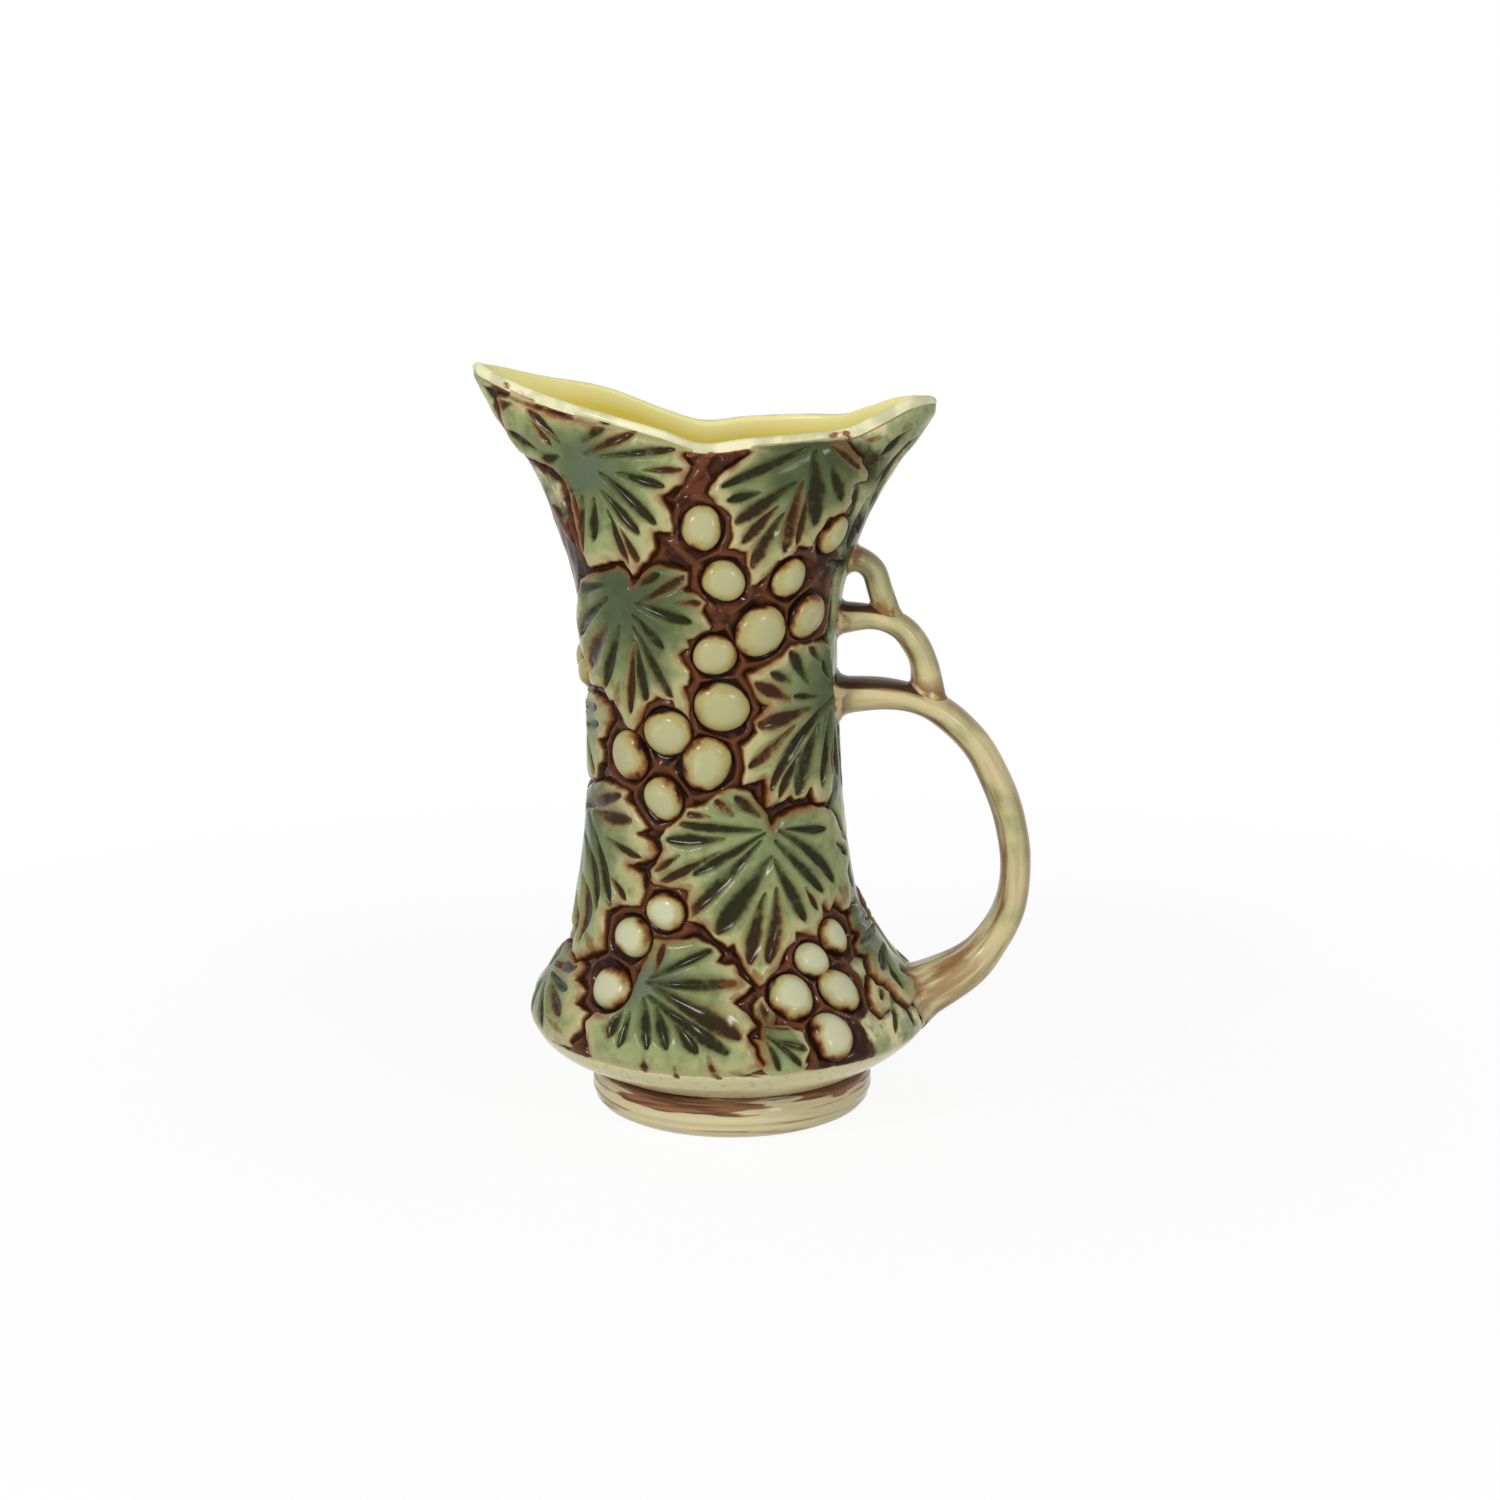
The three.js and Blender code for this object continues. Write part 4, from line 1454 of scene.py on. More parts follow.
@dataclass
class HandleArch:
    """One arch of the handle: a path in the plane of the handle with a rounded section."""

    node: str
    wall: Wall
    path: tuple[tuple[float, float], ...]
    half: tuple[float, ...]
    across: tuple[float, ...]
    shelf: float = 0.0
    weld: float = 4.5
    lute: float = 1.2
    wall_hold: Span = (-2.0, -1.0)
    arch_hold: Span = (-0.4, 0.0)
    uneven: float = 0.1
    uneven_size: float = 26.0
    shrink: float = 0.12
    fullness: float = 0.9
    usual_half: float = 6.0
    upper_face: Span = (0.35, 0.8)
    shelf_fade: float = 3.0
    weld_steps: int = 10
    steps: int = 170
    sides: int = 48

    def __post_init__(self) -> None:
        """Lay out the middle line and the section's half sizes along it."""
        share = np.linspace(0, 1, self.steps)
        self.middle = self.route(share)
        ahead = self.route(np.minimum(share + 0.004, 1)) - self.route(np.maximum(share - 0.004, 0))
        self.ahead = ahead / np.linalg.norm(ahead, axis=-1, keepdims=True)
        self.thick = smooth(np.linspace(0, 1, len(self.half)), np.asarray(self.half, float), share)
        self.wide = smooth(np.linspace(0, 1, len(self.across)), np.asarray(self.across, float), share)
        paces = np.linalg.norm(np.diff(self.middle, axis=0), axis=-1)
        self.length = np.concatenate([[0], np.cumsum(paces)])

    def route(self, share: Array) -> Array:
        """Follow the arch's middle.

        Args:
            share: Shares of the way, 0 to 1.

        Returns:
            Distances from the foot's axis and heights.
        """
        points = np.asarray(self.path, float)
        places = np.linspace(0, 1, len(points))
        return np.stack([smooth(places, points[:, k], share) for k in (0, 1)], axis=-1)

    def measure(self, points: Array) -> Array:
        """Measure roughly how far points lie outside the arch.

        Args:
            points: Points in millimetres about the foot's axis.

        Returns:
            Millimetres, below zero inside the arch.
        """
        flat = points[..., [0, 2]].reshape(-1, 2)
        squares = ((flat[:, None] - self.middle[None]) ** 2).sum(-1)
        near = np.argmin(squares, axis=1).reshape(points.shape[:-1])
        step = points[..., [0, 2]] - self.middle[near]
        out = step[..., 1] * self.ahead[near, 0] - step[..., 0] * self.ahead[near, 1]
        beyond = (step * self.ahead[near]).sum(-1)
        out = np.sign(out) * np.hypot(out, beyond)
        share = np.maximum(np.hypot(out / self.thick[near], points[..., 1] / self.wide[near]), 0.01)
        return (1 - 1 / share) * np.hypot(out, points[..., 1])

    def build(self, finish: HandleGlaze, carriers: "list[HandleArch | Wall]") -> bpy.types.Object:
        """Make the arch as one closed mesh that flares onto what it is luted to.

        Args:
            finish: The glaze that it wears.
            carriers: What its ends are luted to, the wall first.

        Returns:
            The arch's object.
        """
        turns = -np.linspace(0, 2 * np.pi, self.sides, endpoint=False)
        waves = ripple(self.length[:, None], 3.0 * turns[None, :], self.uneven_size, len(self.node))
        uneven = self.uneven * waves - self.shrink
        out = (self.thick[:, None] + uneven) * np.cos(turns)
        full = np.sign(np.sin(turns)) * np.abs(np.sin(turns)) ** self.fullness
        side = (self.wide[:, None] + uneven) * full
        points = self.set_out(out, side)
        normal = self.set_out(np.cos(turns) / self.thick[:, None], np.sin(turns) / self.wide[:, None])
        normal -= self.set_out(np.zeros(out.shape), np.zeros(out.shape))
        normal /= np.linalg.norm(normal, axis=-1, keepdims=True)
        apart = np.array([carrier.measure(points) for carrier in carriers])
        sunk = apart.min(axis=0)
        on_wall = apart.argmin(axis=0) == 0
        most = np.where(on_wall, self.weld, self.lute / 2)
        hold = np.where(on_wall, ease(*self.wall_hold, sunk), ease(*self.arch_hold, sunk))
        move = np.zeros(out.shape)
        for _ in range(self.weld_steps):
            here = points + normal * move[..., None]
            gap = move
            for carrier in carriers:
                gap = welded(gap, carrier.measure(here), self.weld if carrier is self.wall else self.lute)
            move = np.clip(move - gap, 0.0, most)
        points = points + normal * (move * hold)[..., None]
        root = np.min([carrier.measure(points) for carrier in carriers], axis=0)
        run = np.broadcast_to(self.length[:, None], out.shape)
        # Painted shade, together with pooled glaze, goes on the upper face along this stretch near the
        # wall.
        near_wall = 1 - ease(self.shelf - self.shelf_fade, self.shelf, run)
        upper = ease(*self.upper_face, np.cos(turns))[None] * near_wall
        values = {"root": root, "run": run, "round": np.broadcast_to(turns * self.usual_half, out.shape),
                  "inner": np.broadcast_to(-np.cos(turns), out.shape), "shelf": upper}
        patch = capped(self.wall.to_scene(points), values)
        return place(patch, self.node, finish.material())

    def set_out(self, out: Array, side: Array) -> Array:
        """Set points out from the middle line.

        Args:
            out: Millimetres out in the arch's plane.
            side: Millimetres to its side.

        Returns:
            Points in millimetres about the foot's axis.
        """
        x = self.middle[:, :1] - self.ahead[:, 1:] * out
        z = self.middle[:, 1:] + self.ahead[:, :1] * out
        return np.stack([x, np.broadcast_to(side, x.shape), z], axis=-1)


# Strokes at the belly leaf's lower edge, which run on over the wall below it.
BELLY_FEET = strokes(
    (0.8, -23.6, 0.8, -27, 1.4, 0.7), (10.5, -24.6, 10.6, -29.4, 0.8, 0.7),
    (20.4, -21.8, 23.4, -28.6, 1.2, 0.7), (34.5, -27.8, 27, -25.2, 0.9, 0.8))
# The front's leaves, each tucked under the ones before it.
LEAF_PLANS = (
    LeafPlan("main_leaf", 293, 95, ((
        (0.3, 4.8), (-2.7, 8.6), (-4.8, 12), (-9.5, 13.8), (-13.3, 13), (-17, 10.4), (-19, 8.4),
        (-21.5, 7.8), (-26, 7.4), (-26.6, 4.4), (-30.9, 0.4), (-33.4, -2.7), (-32, -6.2), (-34.4, -9.7),
        (-37, -12.5), (-36, -16.4), (-32, -17.4), (-24.6, -17.6), (-25.8, -20.5), (-26.5, -26.8),
        (-21, -27.6), (-18.6, -31.6), (-15, -34.8), (-13, -33.6), (-12.2, -37.9), (-10.5, -43.5),
        (-8.7, -47), (-5.5, -45.7), (-2, -42.5), (0.8, -39.5), (2.9, -36), (6.1, -34.6), (6.8, -31.9),
        (10.7, -33.3), (14.2, -34.6), (15.6, -31.2), (18.3, -31), (18.1, -25.4), (20.8, -28.4),
        (23.5, -25.5), (28, -29.3), (32, -30), (34.6, -26.4), (35.5, -23), (34, -19.5), (37, -15),
        (36, -9.5), (32, -7), (30, -3), (28, 0), (26, 2.7), (21.5, 4), (16, 5.6), (10, 5.4), (4, 3.6),
        (1.2, 1.4)),), strokes(
        (-3.4, 5.1, -9.4, 10.4, 1.6, 0.7), (-11.2, 5.8, -15.8, 10, 1.4, 0.8), (-18, 4.8, -25.5, 6, 1.2, 1),
        (-5.5, 0.5, -26, 2.4, 1.3, 0.4), (-15.5, -2, -29.8, -2.7, 1.7, 0.2),
        (-4, -2.2, -22.4, -12.5, 1.4, 0.2), (-17, -7, -32.8, -15.8, 1.2, 0.5),
        (-27.4, -7.6, -34.4, -12.4, 1, 0.4), (-5.5, -5.8, -25.4, -25.4, 1.8, 0.4),
        (-2, -11, -17, -29.5, 2.8, 0.2), (-3.4, -21.5, -9.4, -39, 2, 0.4),
        (0.6, -20.5, -3.8, -39, 2.3, 0.5, 1.6), (2.2, -11.5, 10.2, -28.2, 1.9, 0.4),
        (11.4, -19.6, 15, -26, 0.9, 0.6), (3.6, -5.5, 17.8, -21, 1.5, 0),
        (5.7, -2.7, 23.6, -19, 1.7, 0.1, 1.2), (7, -0.5, 20.6, -2.8, 1.2, 0.1),
        (26.5, -8.5, 32.5, -13, 1, 0.1), (26, -22.5, 30.5, -25.5, 2.6, 2),
        (-9, -42, -8.6, -46, 1.8, 2)), milk=0.1, shade=0.12),
    LeafPlan("spout_leaf", 230, 201, ((
        (-13, 20.5), (-6, 18), (0, 16.5), (8, 15.5), (14, 15), (20, 13.5), (27, 11.5), (32, 9.5), (33.5, 8),
        (31, 5.5), (32.5, 2.2), (28, -3.3), (20.5, -7.4), (22.5, -12.7), (22, -18.2), (16, -18.2),
        (15.6, -22.9), (12.5, -26.8), (9, -29.2), (6.6, -32.3), (4.6, -27.5), (0, -28), (-5, -29.6),
        (-10, -31), (-12.5, -26), (-12, -20), (-11.5, -12), (-11, -5), (-14, -1), (-20, 1), (-27, 3),
        (-27.5, 10), (-25.5, 15), (-23, 22), (-18, 22.5)),), strokes(
        (-5.9, 10, -11.7, 18.6, 1.6, 0.5), (3.9, 10, 12.9, 16.2, 1.5, 0.3), (3.5, 6, 20, 13, 1.4, 0.7),
        (9, 4.9, 29.3, 7.6, 1.3, 0.3), (19, 0.6, 28.8, 1, 1.1, 0.5), (11, -1, 21.5, -4.1, 1.6, 0.2),
        (5.5, -2.5, 16.8, -15.1, 1.8, 0.3), (3.5, -8, 11.3, -18.2, 1.6, 0.4),
        (-1.2, -10.4, -4.3, -21.3, 1.5, 0.1), (-5.9, -11, -12.9, -27.6, 1.8, 0.5),
        (3.5, -14, 5.9, -27.6, 1.2, 0.4), (6.6, -19, 9.8, -27.6, 1.3, 0.6), (-9, 4, -15.5, 2, 1.5, 0.3),
        (-16, 6, -24, 10.7, 1.6, 0.1), (-18.5, 20, -24.5, 19.6, 1.7, 0.1), (-12, 14, -9, 8, 1.2, 0.8),
        (-9.5, -4, -9.5, -16, 1.5, 0.9), (9, 17.2, -14, 22.5, 0.9, 2),
        (-4, 17, 1, 17.5, 1.6, 2)), milk=0.65, shade=0.75),
    LeafPlan("neck_leaf", 301, 206, ((
        (-25, -3), (-20, 2.5), (-12, 3.2), (-5, 3.6), (1, 4), (6.7, 3.4), (15, -2.5), (19.3, -6.4),
        (21, -10.2), (16.3, -10.9), (17.8, -16), (17.2, -21), (11.2, -21), (9, -24.9), (7.4, -29.7),
        (3, -29), (0.2, -33.3), (-3, -33), (-4.3, -36), (-8.8, -39.7), (-12.5, -39.9), (-13.2, -29.5),
        (-19.1, -28.8), (-18.8, -24), (-20.8, -19.4), (-22.1, -17.2), (-26.5, -14.9), (-29.5, -11.6),
        (-28.4, -6.4)),), strokes(
        (-4.3, 2.1, -25.4, -9.4, 1.7, 0.2), (-15.4, -12, -22.5, -13.8, 1.5, 0.1),
        (-6.6, -10.5, -18.4, -20.5, 2.2, 0.4), (-8.8, -17.5, -14.7, -26.4, 1.8, 0.5),
        (-6.2, -20.5, -11, -34, 2.1, 0.4), (-2.5, -11.6, -1.5, -29.3, 2.2, 0.7),
        (0.5, -13, 2, -28, 1.3, 0.6), (-1, -2, 6.3, -21.4, 2.7, 0.2), (6, -5.7, 12.8, -14.8, 1.7, 0.2),
        (3, 2, 15, -5.4, 1, 0.8)), milk=0.1, shade=1.0),
    LeafPlan("shoulder_leaf", 238, 164, ((
        (0, 4.3), (1.4, 4.8), (4.3, 8.6), (7.9, 10.8), (12.9, 10.4), (18.2, 9), (17.9, 5), (16.4, 3.6),
        (20, 2.5), (22.5, 0), (20.7, -3.2), (23.2, -7.1), (22.2, -10.6), (15.7, -11.4), (16, -13.8),
        (12.9, -15.7), (15.7, -20.7), (15.4, -25.5), (13.6, -25.6), (15, -30.7), (14.6, -36), (13.4, -38.6),
        (10, -34), (9.3, -30), (5, -29.3), (1.8, -31.4), (0, -35), (-4.3, -41.8), (-7.9, -38.6), (-10, -35),
        (-11.4, -32.3), (-13.6, -33), (-16.4, -29.5), (-27, -30), (-34, -29), (-35, -20), (-34, -9.5),
        (-27, -1.4), (-23.6, 2.9), (-17.9, 5.7), (-8, 7.9), (-4.3, 9.4), (-0.7, 8.9)),), strokes(
        (2.1, 4.3, 9.3, 7.9, 1.3, 0.3), (4, 0, 17.9, 7.9, 1.3, 0.7), (14.6, -0.4, 22, 0, 1.1, 0.9),
        (2.9, -1.8, 16.6, -5.8, 1.7, 0.2), (0.7, -5.7, 7.9, -13.6, 1.5, 0),
        (0.7, -10.7, 9.5, -28.8, 1.5, 0.4), (0, -15, 1.4, -30.7, 1.6, 0.2),
        (-1.4, -15, -4.3, -34.3, 1.3, 0.8), (-6.4, -10.7, -15, -28, 1.8, 0.3),
        (-12.1, -10.7, -24.3, -23.6, 3, 0.6), (-11.4, -2, -30.7, -15, 1.7, 0.2),
        (-11.4, 2.9, -26, 0, 1.7, 0.3), (-7.5, -26.5, -10, -34, 1.6, 2)), milk=0.15, shade=0.9),
    LeafPlan("handle_leaf", 334, 133, ((
        (2, 14), (4, 5), (4, -5), (3, -14), (1, -25), (-0.7, -31), (-4.7, -34.3), (-10, -32.4),
        (-11.7, -27.8), (-14, -30.4), (-18, -30.4), (-19.3, -29), (-22, -30), (-28, -31.8), (-27.3, -22.7),
        (-34.7, -24.4), (-34, -18.3), (-34.3, -12.3), (-31.5, -10.5), (-29.3, -8.3), (-30.2, -5),
        (-27.3, -2.8), (-25.5, -0.7), (-28, 0.5), (-29.5, 3), (-32, 9.4), (-26, 11.5), (-23.3, 13.2),
        (-20.7, 14.2), (-17.3, 17), (-10, 17.6), (-2, 15.7)),), strokes(
        (-1, 5, -5, 10.5, 1.3, 0.1), (-12, 6, -18, 15, 1.7, 0.1), (-6.7, 11.5, -10.7, 15.9, 1.2, 0.4),
        (-18.7, 6.3, -24.2, 9.2, 1.4, 0.4), (-19.5, 1.2, -28.9, 6.2, 1.9, 0.9),
        (-9, 0.2, -17, 1.5, 0.9, 0.1), (-13.5, -3.6, -29.5, -6.4, 2.2, 0.6),
        (-19, -8.8, -31.9, -18.5, 1.6, 0.6), (-1.3, -4.3, -26, -25.7, 1.6, 0.3, -4),
        (-16, -17, -23.4, -28, 1.4, 0.3, -0.5), (-8.7, -11, -16.8, -28, 2.8, 0.1, -1),
        (-2, -8.3, -6.7, -27, 1.7, 0.3), (2, -12, -1, -24, 1.4, 0.1)), milk=0.2, shade=0.75),
    LeafPlan("belly_leaf", 245, 50, ((
        (-2.5, 11.5), (-0.6, 13.5), (6.4, 13.8), (11.6, 14.9), (16.7, 13.4), (20.5, 10), (19.2, 7.8),
        (24.2, 7), (25.8, 4), (30.4, 0.4), (24.9, -4.6), (28.8, -7.2), (33, -12.1), (30.4, -14.8),
        (33, -18), (36.5, -23.5), (30, -26.3), (18, -27), (6, -27), (-6, -27), (-18, -26.2), (-21.7, -20.3),
        (-22.8, -15.8), (-20.2, -12.9), (-15, -10), (-8, -6), (-5.4, 1.9), (-2.8, 7.8)),), strokes(
        (1.6, 2.7, 19, 12.4, 1.3, 0.3), (1.6, 0.1, 24.3, 1.2, 1.8, 0.5), (4.2, -2.5, 27.8, -15.1, 2.8, 0.5),
        (2.7, -6.2, 25, -19.6, 2.1, 0.2), (9.3, -12.1, 16.2, -19.6, 1.9, 0.1),
        (2.7, -8.4, 7.2, -19, 1.8, 0.1), (-1.7, -7, 1.2, -19.6, 1.7, 0.1),
        (-6.2, -11.4, -7.8, -20.4, 1.4, 0.1), (-9.5, -10, -12.3, -18.2, 2, 0.5),
        (-13, -11, -19.5, -12.5, 1.5, 0.9), (1, 4, 3, 12.2, 1.1, 0.9), (21, 1, 27, 0.5, 2, 2),
        (24, -3.5, 27, -2.5, 1.5, 2)) + BELLY_FEET, milk=0.9, shade=0.3),
    LeafPlan("side_leaf", 194, 91.5, ((
        (-8, 9), (-0.1, 11.9), (9, 14.5), (15.9, 14.9), (22.8, 13.6), (21.4, 11), (26.6, 8), (30.4, 3.3),
        (27.3, 1.4), (32, -0.4), (34.2, -3.6), (32.5, -6), (24.7, -8.9), (29.6, -10.4), (32.3, -15.7),
        (31.5, -20.5), (23.1, -21.8), (18.6, -24.1), (19.8, -28), (20.6, -33), (21.3, -35.6), (15, -38.8),
        (9, -42.2), (4.5, -41), (0, -35.5), (-7, -34), (-10, -25), (-11, -12), (-11, 0)),), strokes(
        (0, 4.9, 19, 11.8, 1.9, 0.8), (8.3, 4.1, 23.7, 4.9, 2, 0.8), (16.3, -2.4, 29, -5.9, 1.1, 0.5),
        (4.5, -0.5, 19.8, -21.9, 1.7, 0.1, 1.6), (0, -7.3, 13.7, -23.5, 2, 0.1, 3),
        (19.7, -14.2, 25.9, -19, 1.1, 0.8), (2.2, -19.5, 8.3, -34.8, 2.6, 0.6, 4),
        (-2.4, -25.6, 3, -35.5, 2.2, 0.5, 1), (12, -33, 17.5, -36.5, 2, 2)), milk=0.7, shade=0.6),
    LeafPlan("small_leaf", 281, 39, ((
        (-1.7, 8.5), (1.7, 11), (4.9, 8.5), (4.5, 3.4), (2.5, 1.2), (7, 1.2), (11.3, -2.2), (12.8, -7.2),
        (10.5, -13.4), (5, -14.4), (0.9, -14), (-2.4, -10), (-5.4, -2.2), (-2, -2.6), (-0.8, 1.5),
        (-2.2, 5)),), strokes(
        (0.4, -2.8, 10.6, -12, 0.9, 0.1), (0, 0.7, 7.5, -0.4, 0.7, 0.2), (-3.4, -3.4, -2.2, -8.4, 1.2, 0.6),
        (1, 3, 2, 9, 1.6, 0.8), (3, -4, 11.5, -7, 1.2, 0.2), (0, -5, 3, -12, 1, 0.2)), milk=0, shade=0.7),
    LeafPlan("root_leaf", 344, 58.5, ((
        (-3.3, 8), (-7.8, 5.8), (-8.3, 1.6), (-4.8, -0.9), (-10.8, -3.2), (-11.8, -6.4), (-7.3, -7.9),
        (-11.3, -13.2), (-10.3, -16.4), (-8, -18.4), (-9.3, -24.4), (-6.3, -28.4), (1.7, -27.4),
        (11.7, -26), (16, -18), (14, -6), (8, 3), (3, 7.5)), ((-22.8, -27), (-23.3, -23.4), (-20.3, -19.4),
        (-15.3, -15.4), (-12.3, -13.4), (-13.3, -17.4), (-10.3, -21.4), (-15.3, -25.4))), strokes(
        (6.7, 0.6, -2.5, 2.8, 1.5, 0.6), (6.7, -2.4, -8, -3.4, 1.3, 0.7),
        (4.7, -9.4, -5.5, -13.9, 1.8, 0.1), (1.7, -13.4, -4.3, -22.4, 1.6, 0.1),
        (10.7, -21.4, 4.7, -19.4, 1.8, 0.1), (-11.3, -17.9, -18.3, -22.4, 0.9, 0.8)), milk=0.2, shade=0.6),
    LeafPlan("edge_leaf", 191, 121.5, ((
        (1.6, 10.5), (8, 11), (12.6, 10), (17, 8.5), (17.6, 4.5), (13.6, -1.5), (9, -3.5), (12.8, -5.7),
        (12, -9.5), (8.6, -12), (8, -15.5), (1.6, -18.7), (-5, -17), (-8, -6), (-6, 5)),), strokes(
        (0, 5, 10, 7, 1.5, 0.5), (2, 0, 11, 2, 1.2, 0.3), (1, -5, 6, -14, 1.4, 0.3),
        (-2, 6, -5, -8, 1.6, 0.2)), milk=0.2, shade=0.4),
)
# The leaf that lies across the seam on the spout's side.
SEAM_LEAF = LeafPlan("spout_side_leaf", 184, 42.5, ((
    (-20, -6), (-16, 4), (-8, 7), (1, 11), (10, 10), (18, 9.2), (24, 8.5), (22.9, 3.6), (31, 2), (30.5, -3),
    (38, -4), (40, -10), (36, -15.5), (22, -17), (10, -17), (-2, -17.5), (-14, -15.5)),), strokes(
    (7, 3.5, 20, 6.5, 1.8, 0.9), (9, 0, 23, -1, 1.3, 0.2), (14, -3, 27.5, -8.2, 1.8, 0.6),
    (9, -5, 20, -14, 1.2, 0.2), (23, -11, 33, -12.5, 1, 2), (0, 2, 2, 9, 1.5, 0.3),
    (-2, 1, -9, 5, 1.5, 0.3), (-3, -3, -16, -4, 1.5, 0.3), (-1, -6, -10, -13, 1.6, 0.3),
    (3, -6, 4, -15, 1.4, 0.2)), milk=0.3, shade=0.5)
# Marks on the wall itself: an angle, a height, then the strokes and the twigs that are measured from there.
WALL_MARKS = (
    (245, 50, BELLY_FEET, ()),
    (200, 45, strokes((33, -19.5, 25, -17, 1.1, 0.9), (6, -17.5, 0, -18, 0.9, 2)), ()),
    (230, 201, strokes(
        (9, 18.6, -20, 25.2, 1.1, 2), (-3, 18, 1, 18.2, 1.6, 2), (33, 10.4, 45, 9.6, 1.1, 2)),
        strokes((26, -6.5, 41, 9, 1.9), (20, -20.5, 28, -28.5, 1.7))),
    (268, 205, strokes((-7, 1.2, 6, 1.6, 0.8, 2), (3, 0, 2, -5, 1.6, 0.9)), ()),
    (301, 206, strokes((0, 5.2, 8, 4.8, 0.9, 2)), ()),
    (335, 38, strokes((-4, 0, -10, -7, 1.1, 0.8), (4, 4, 2, -8, 1.4, 0.1), (9, 0, 10, -10, 1.2, 0.2)), ()),
    (335, 200, strokes(
        (-28, 12, -20, 12.4, 0.8, 2), (-15, 11, -10, 11.5, 1.1, 2), (0, 12, -4, 5, 2, 0.1),
        (-9, 5, -5, 2, 1.8, 0.9), (0, -6.5, 7, 9, 1.5, 0.1), (2, -16, 6, -22, 1.4, 0.1)), ()),
    (338, 165, strokes(
        (-22, 50, -8, 34, 0.8, 0.8), (-9, 33, -6, 22, 1.3, 0.8), (3, 28, 3, 46, 2, 0.1),
        (-1, 26, 0, 12, 1.6, 0), (-8, 8, 2, 6, 1.3, 0.2), (-2, -2, 0, -14, 1.2, 0.3)), ()),
    (345, 85, strokes(
        (-6, 12, 0, 4, 1.1, 0.4), (-3, 40, -1, 22, 1.3, 0.1), (3, 0, 3, -14, 1.5, 0.1),
        (5, 20, 4, 42, 1.4, 0.1)), ()),
    (195, 205, strokes(
        (6, 14, -1, 20, 2.4, 0), (12, 13, 9, 7, 1.6, 0.2), (8, 5, 4, 3, 1.4, 0.3)),
        strokes((3, -5, 10, -16, 2.4), (2, -19, 8, -29, 2.6), (10, -23, 12, -34, 1.5))),
)
# The front's bunches, and the one on the seam.
BUNCH_PLANS = {
    "middle_grapes": (Grape(267, 185.5, 6.3), Grape(276, 170.1, 6.2), Grape(272.4, 148.1, 6.2),
                      Grape(274.4, 132.5, 7.8), Grape(266, 115.5, 7.8), Grape(248.7, 124.2, 7.2),
                      Grape(245.3, 104.2, 6.3), Grape(227.3, 115.7, 7.2)),
    "handle_side_grapes": (Grape(322, 181.2, 5.5), Grape(304, 169.8, 5.6), Grape(293, 154.7, 7.7),
                           Grape(317, 157.8, 6.9)),
    "lower_grapes": (Grape(248, 70.7, 5.9), Grape(233.7, 62, 6.4), Grape(227.7, 46.7, 6.9)),
    "root_grapes": (Grape(321, 60, 5.6), Grape(306.7, 55.4, 5.6), Grape(293.3, 46.4, 7),
                    Grape(301.4, 35.6, 7.2), Grape(312.6, 45.9, 6.8)),
}
SEAM_BUNCH = (Grape(189, 137.2, 4.6), Grape(176, 140, 5), Grape(164, 133.5, 5.5))


@dataclass
class Vine:
    """All the sprigs on the wall, on both halves of the mould and on the seam."""

    wall: Wall
    margin: float = 6.0
    grape_room: float = 2.0
    seam_swell: float = 0.75

    def __post_init__(self) -> None:
        """Lay the sprigs out, each leaf tucked under the ones before it."""
        self.bunches: dict[str, tuple[Grape, ...]] = {}
        for name, grapes in BUNCH_PLANS.items():
            self.bunches[f"{name}_{Side.FRONT.value}"] = grapes
            self.bunches[f"{name}_{Side.BACK.value}"] = tuple(g.mirrored() for g in grapes)
        self.bunches["spout_side_grapes"] = SEAM_BUNCH
        self.grapes = [g for grapes in self.bunches.values() for g in grapes]
        plans: list[tuple[str, LeafPlan]] = []
        for plan in LEAF_PLANS:
            plans.append((f"{plan.name}_{Side.FRONT.value}", plan))
            plans.append((f"{plan.name}_{Side.BACK.value}", plan.mirrored()))
        plans.append((SEAM_LEAF.name, SEAM_LEAF))
        self.leaves: list[VineLeaf] = []
        for k, (node, plan) in enumerate(plans):
            leaf = VineLeaf(plan, node, self.wall, k)
            leaf.over = [other for other in self.leaves
                         if self.apart(plan, other.plan) < leaf.longest + other.longest]
            leaf.grapes = [g for g in self.grapes
                           if self.apart(plan, g) < leaf.longest + g.radius + self.grape_room]
            self.leaves.append(leaf)

    def apart(self, a: LeafPlan, b: LeafPlan | Grape) -> float:
        """Measure between the middles of two sprigs.

        Args:
            a: The one that is measured from.
            b: The other one.

        Returns:
            Millimetres along the wall.
        """
        to_angle, to_height = np.array([[float(b.angle)], [float(b.height)]])
        around, upward = self.wall.local(a.angle, a.height, to_angle, to_height)
        return float(np.hypot(around, upward)[0])

    def build(self) -> None:
        """Make every leaf and bunch."""
        for leaf in self.leaves:
            margin = min(self.margin, leaf.longest / 6)
            leaf.build(LeafGlaze(f"{leaf.node}_glaze", leaf.plan.milk, leaf.plan.shade, margin))
        for node, grapes in self.bunches.items():
            bunch = GrapeBunch(node, grapes, self.wall)
            if grapes is SEAM_BUNCH:
                bunch.swell = self.seam_swell
            bunch.build(GrapeGlaze())


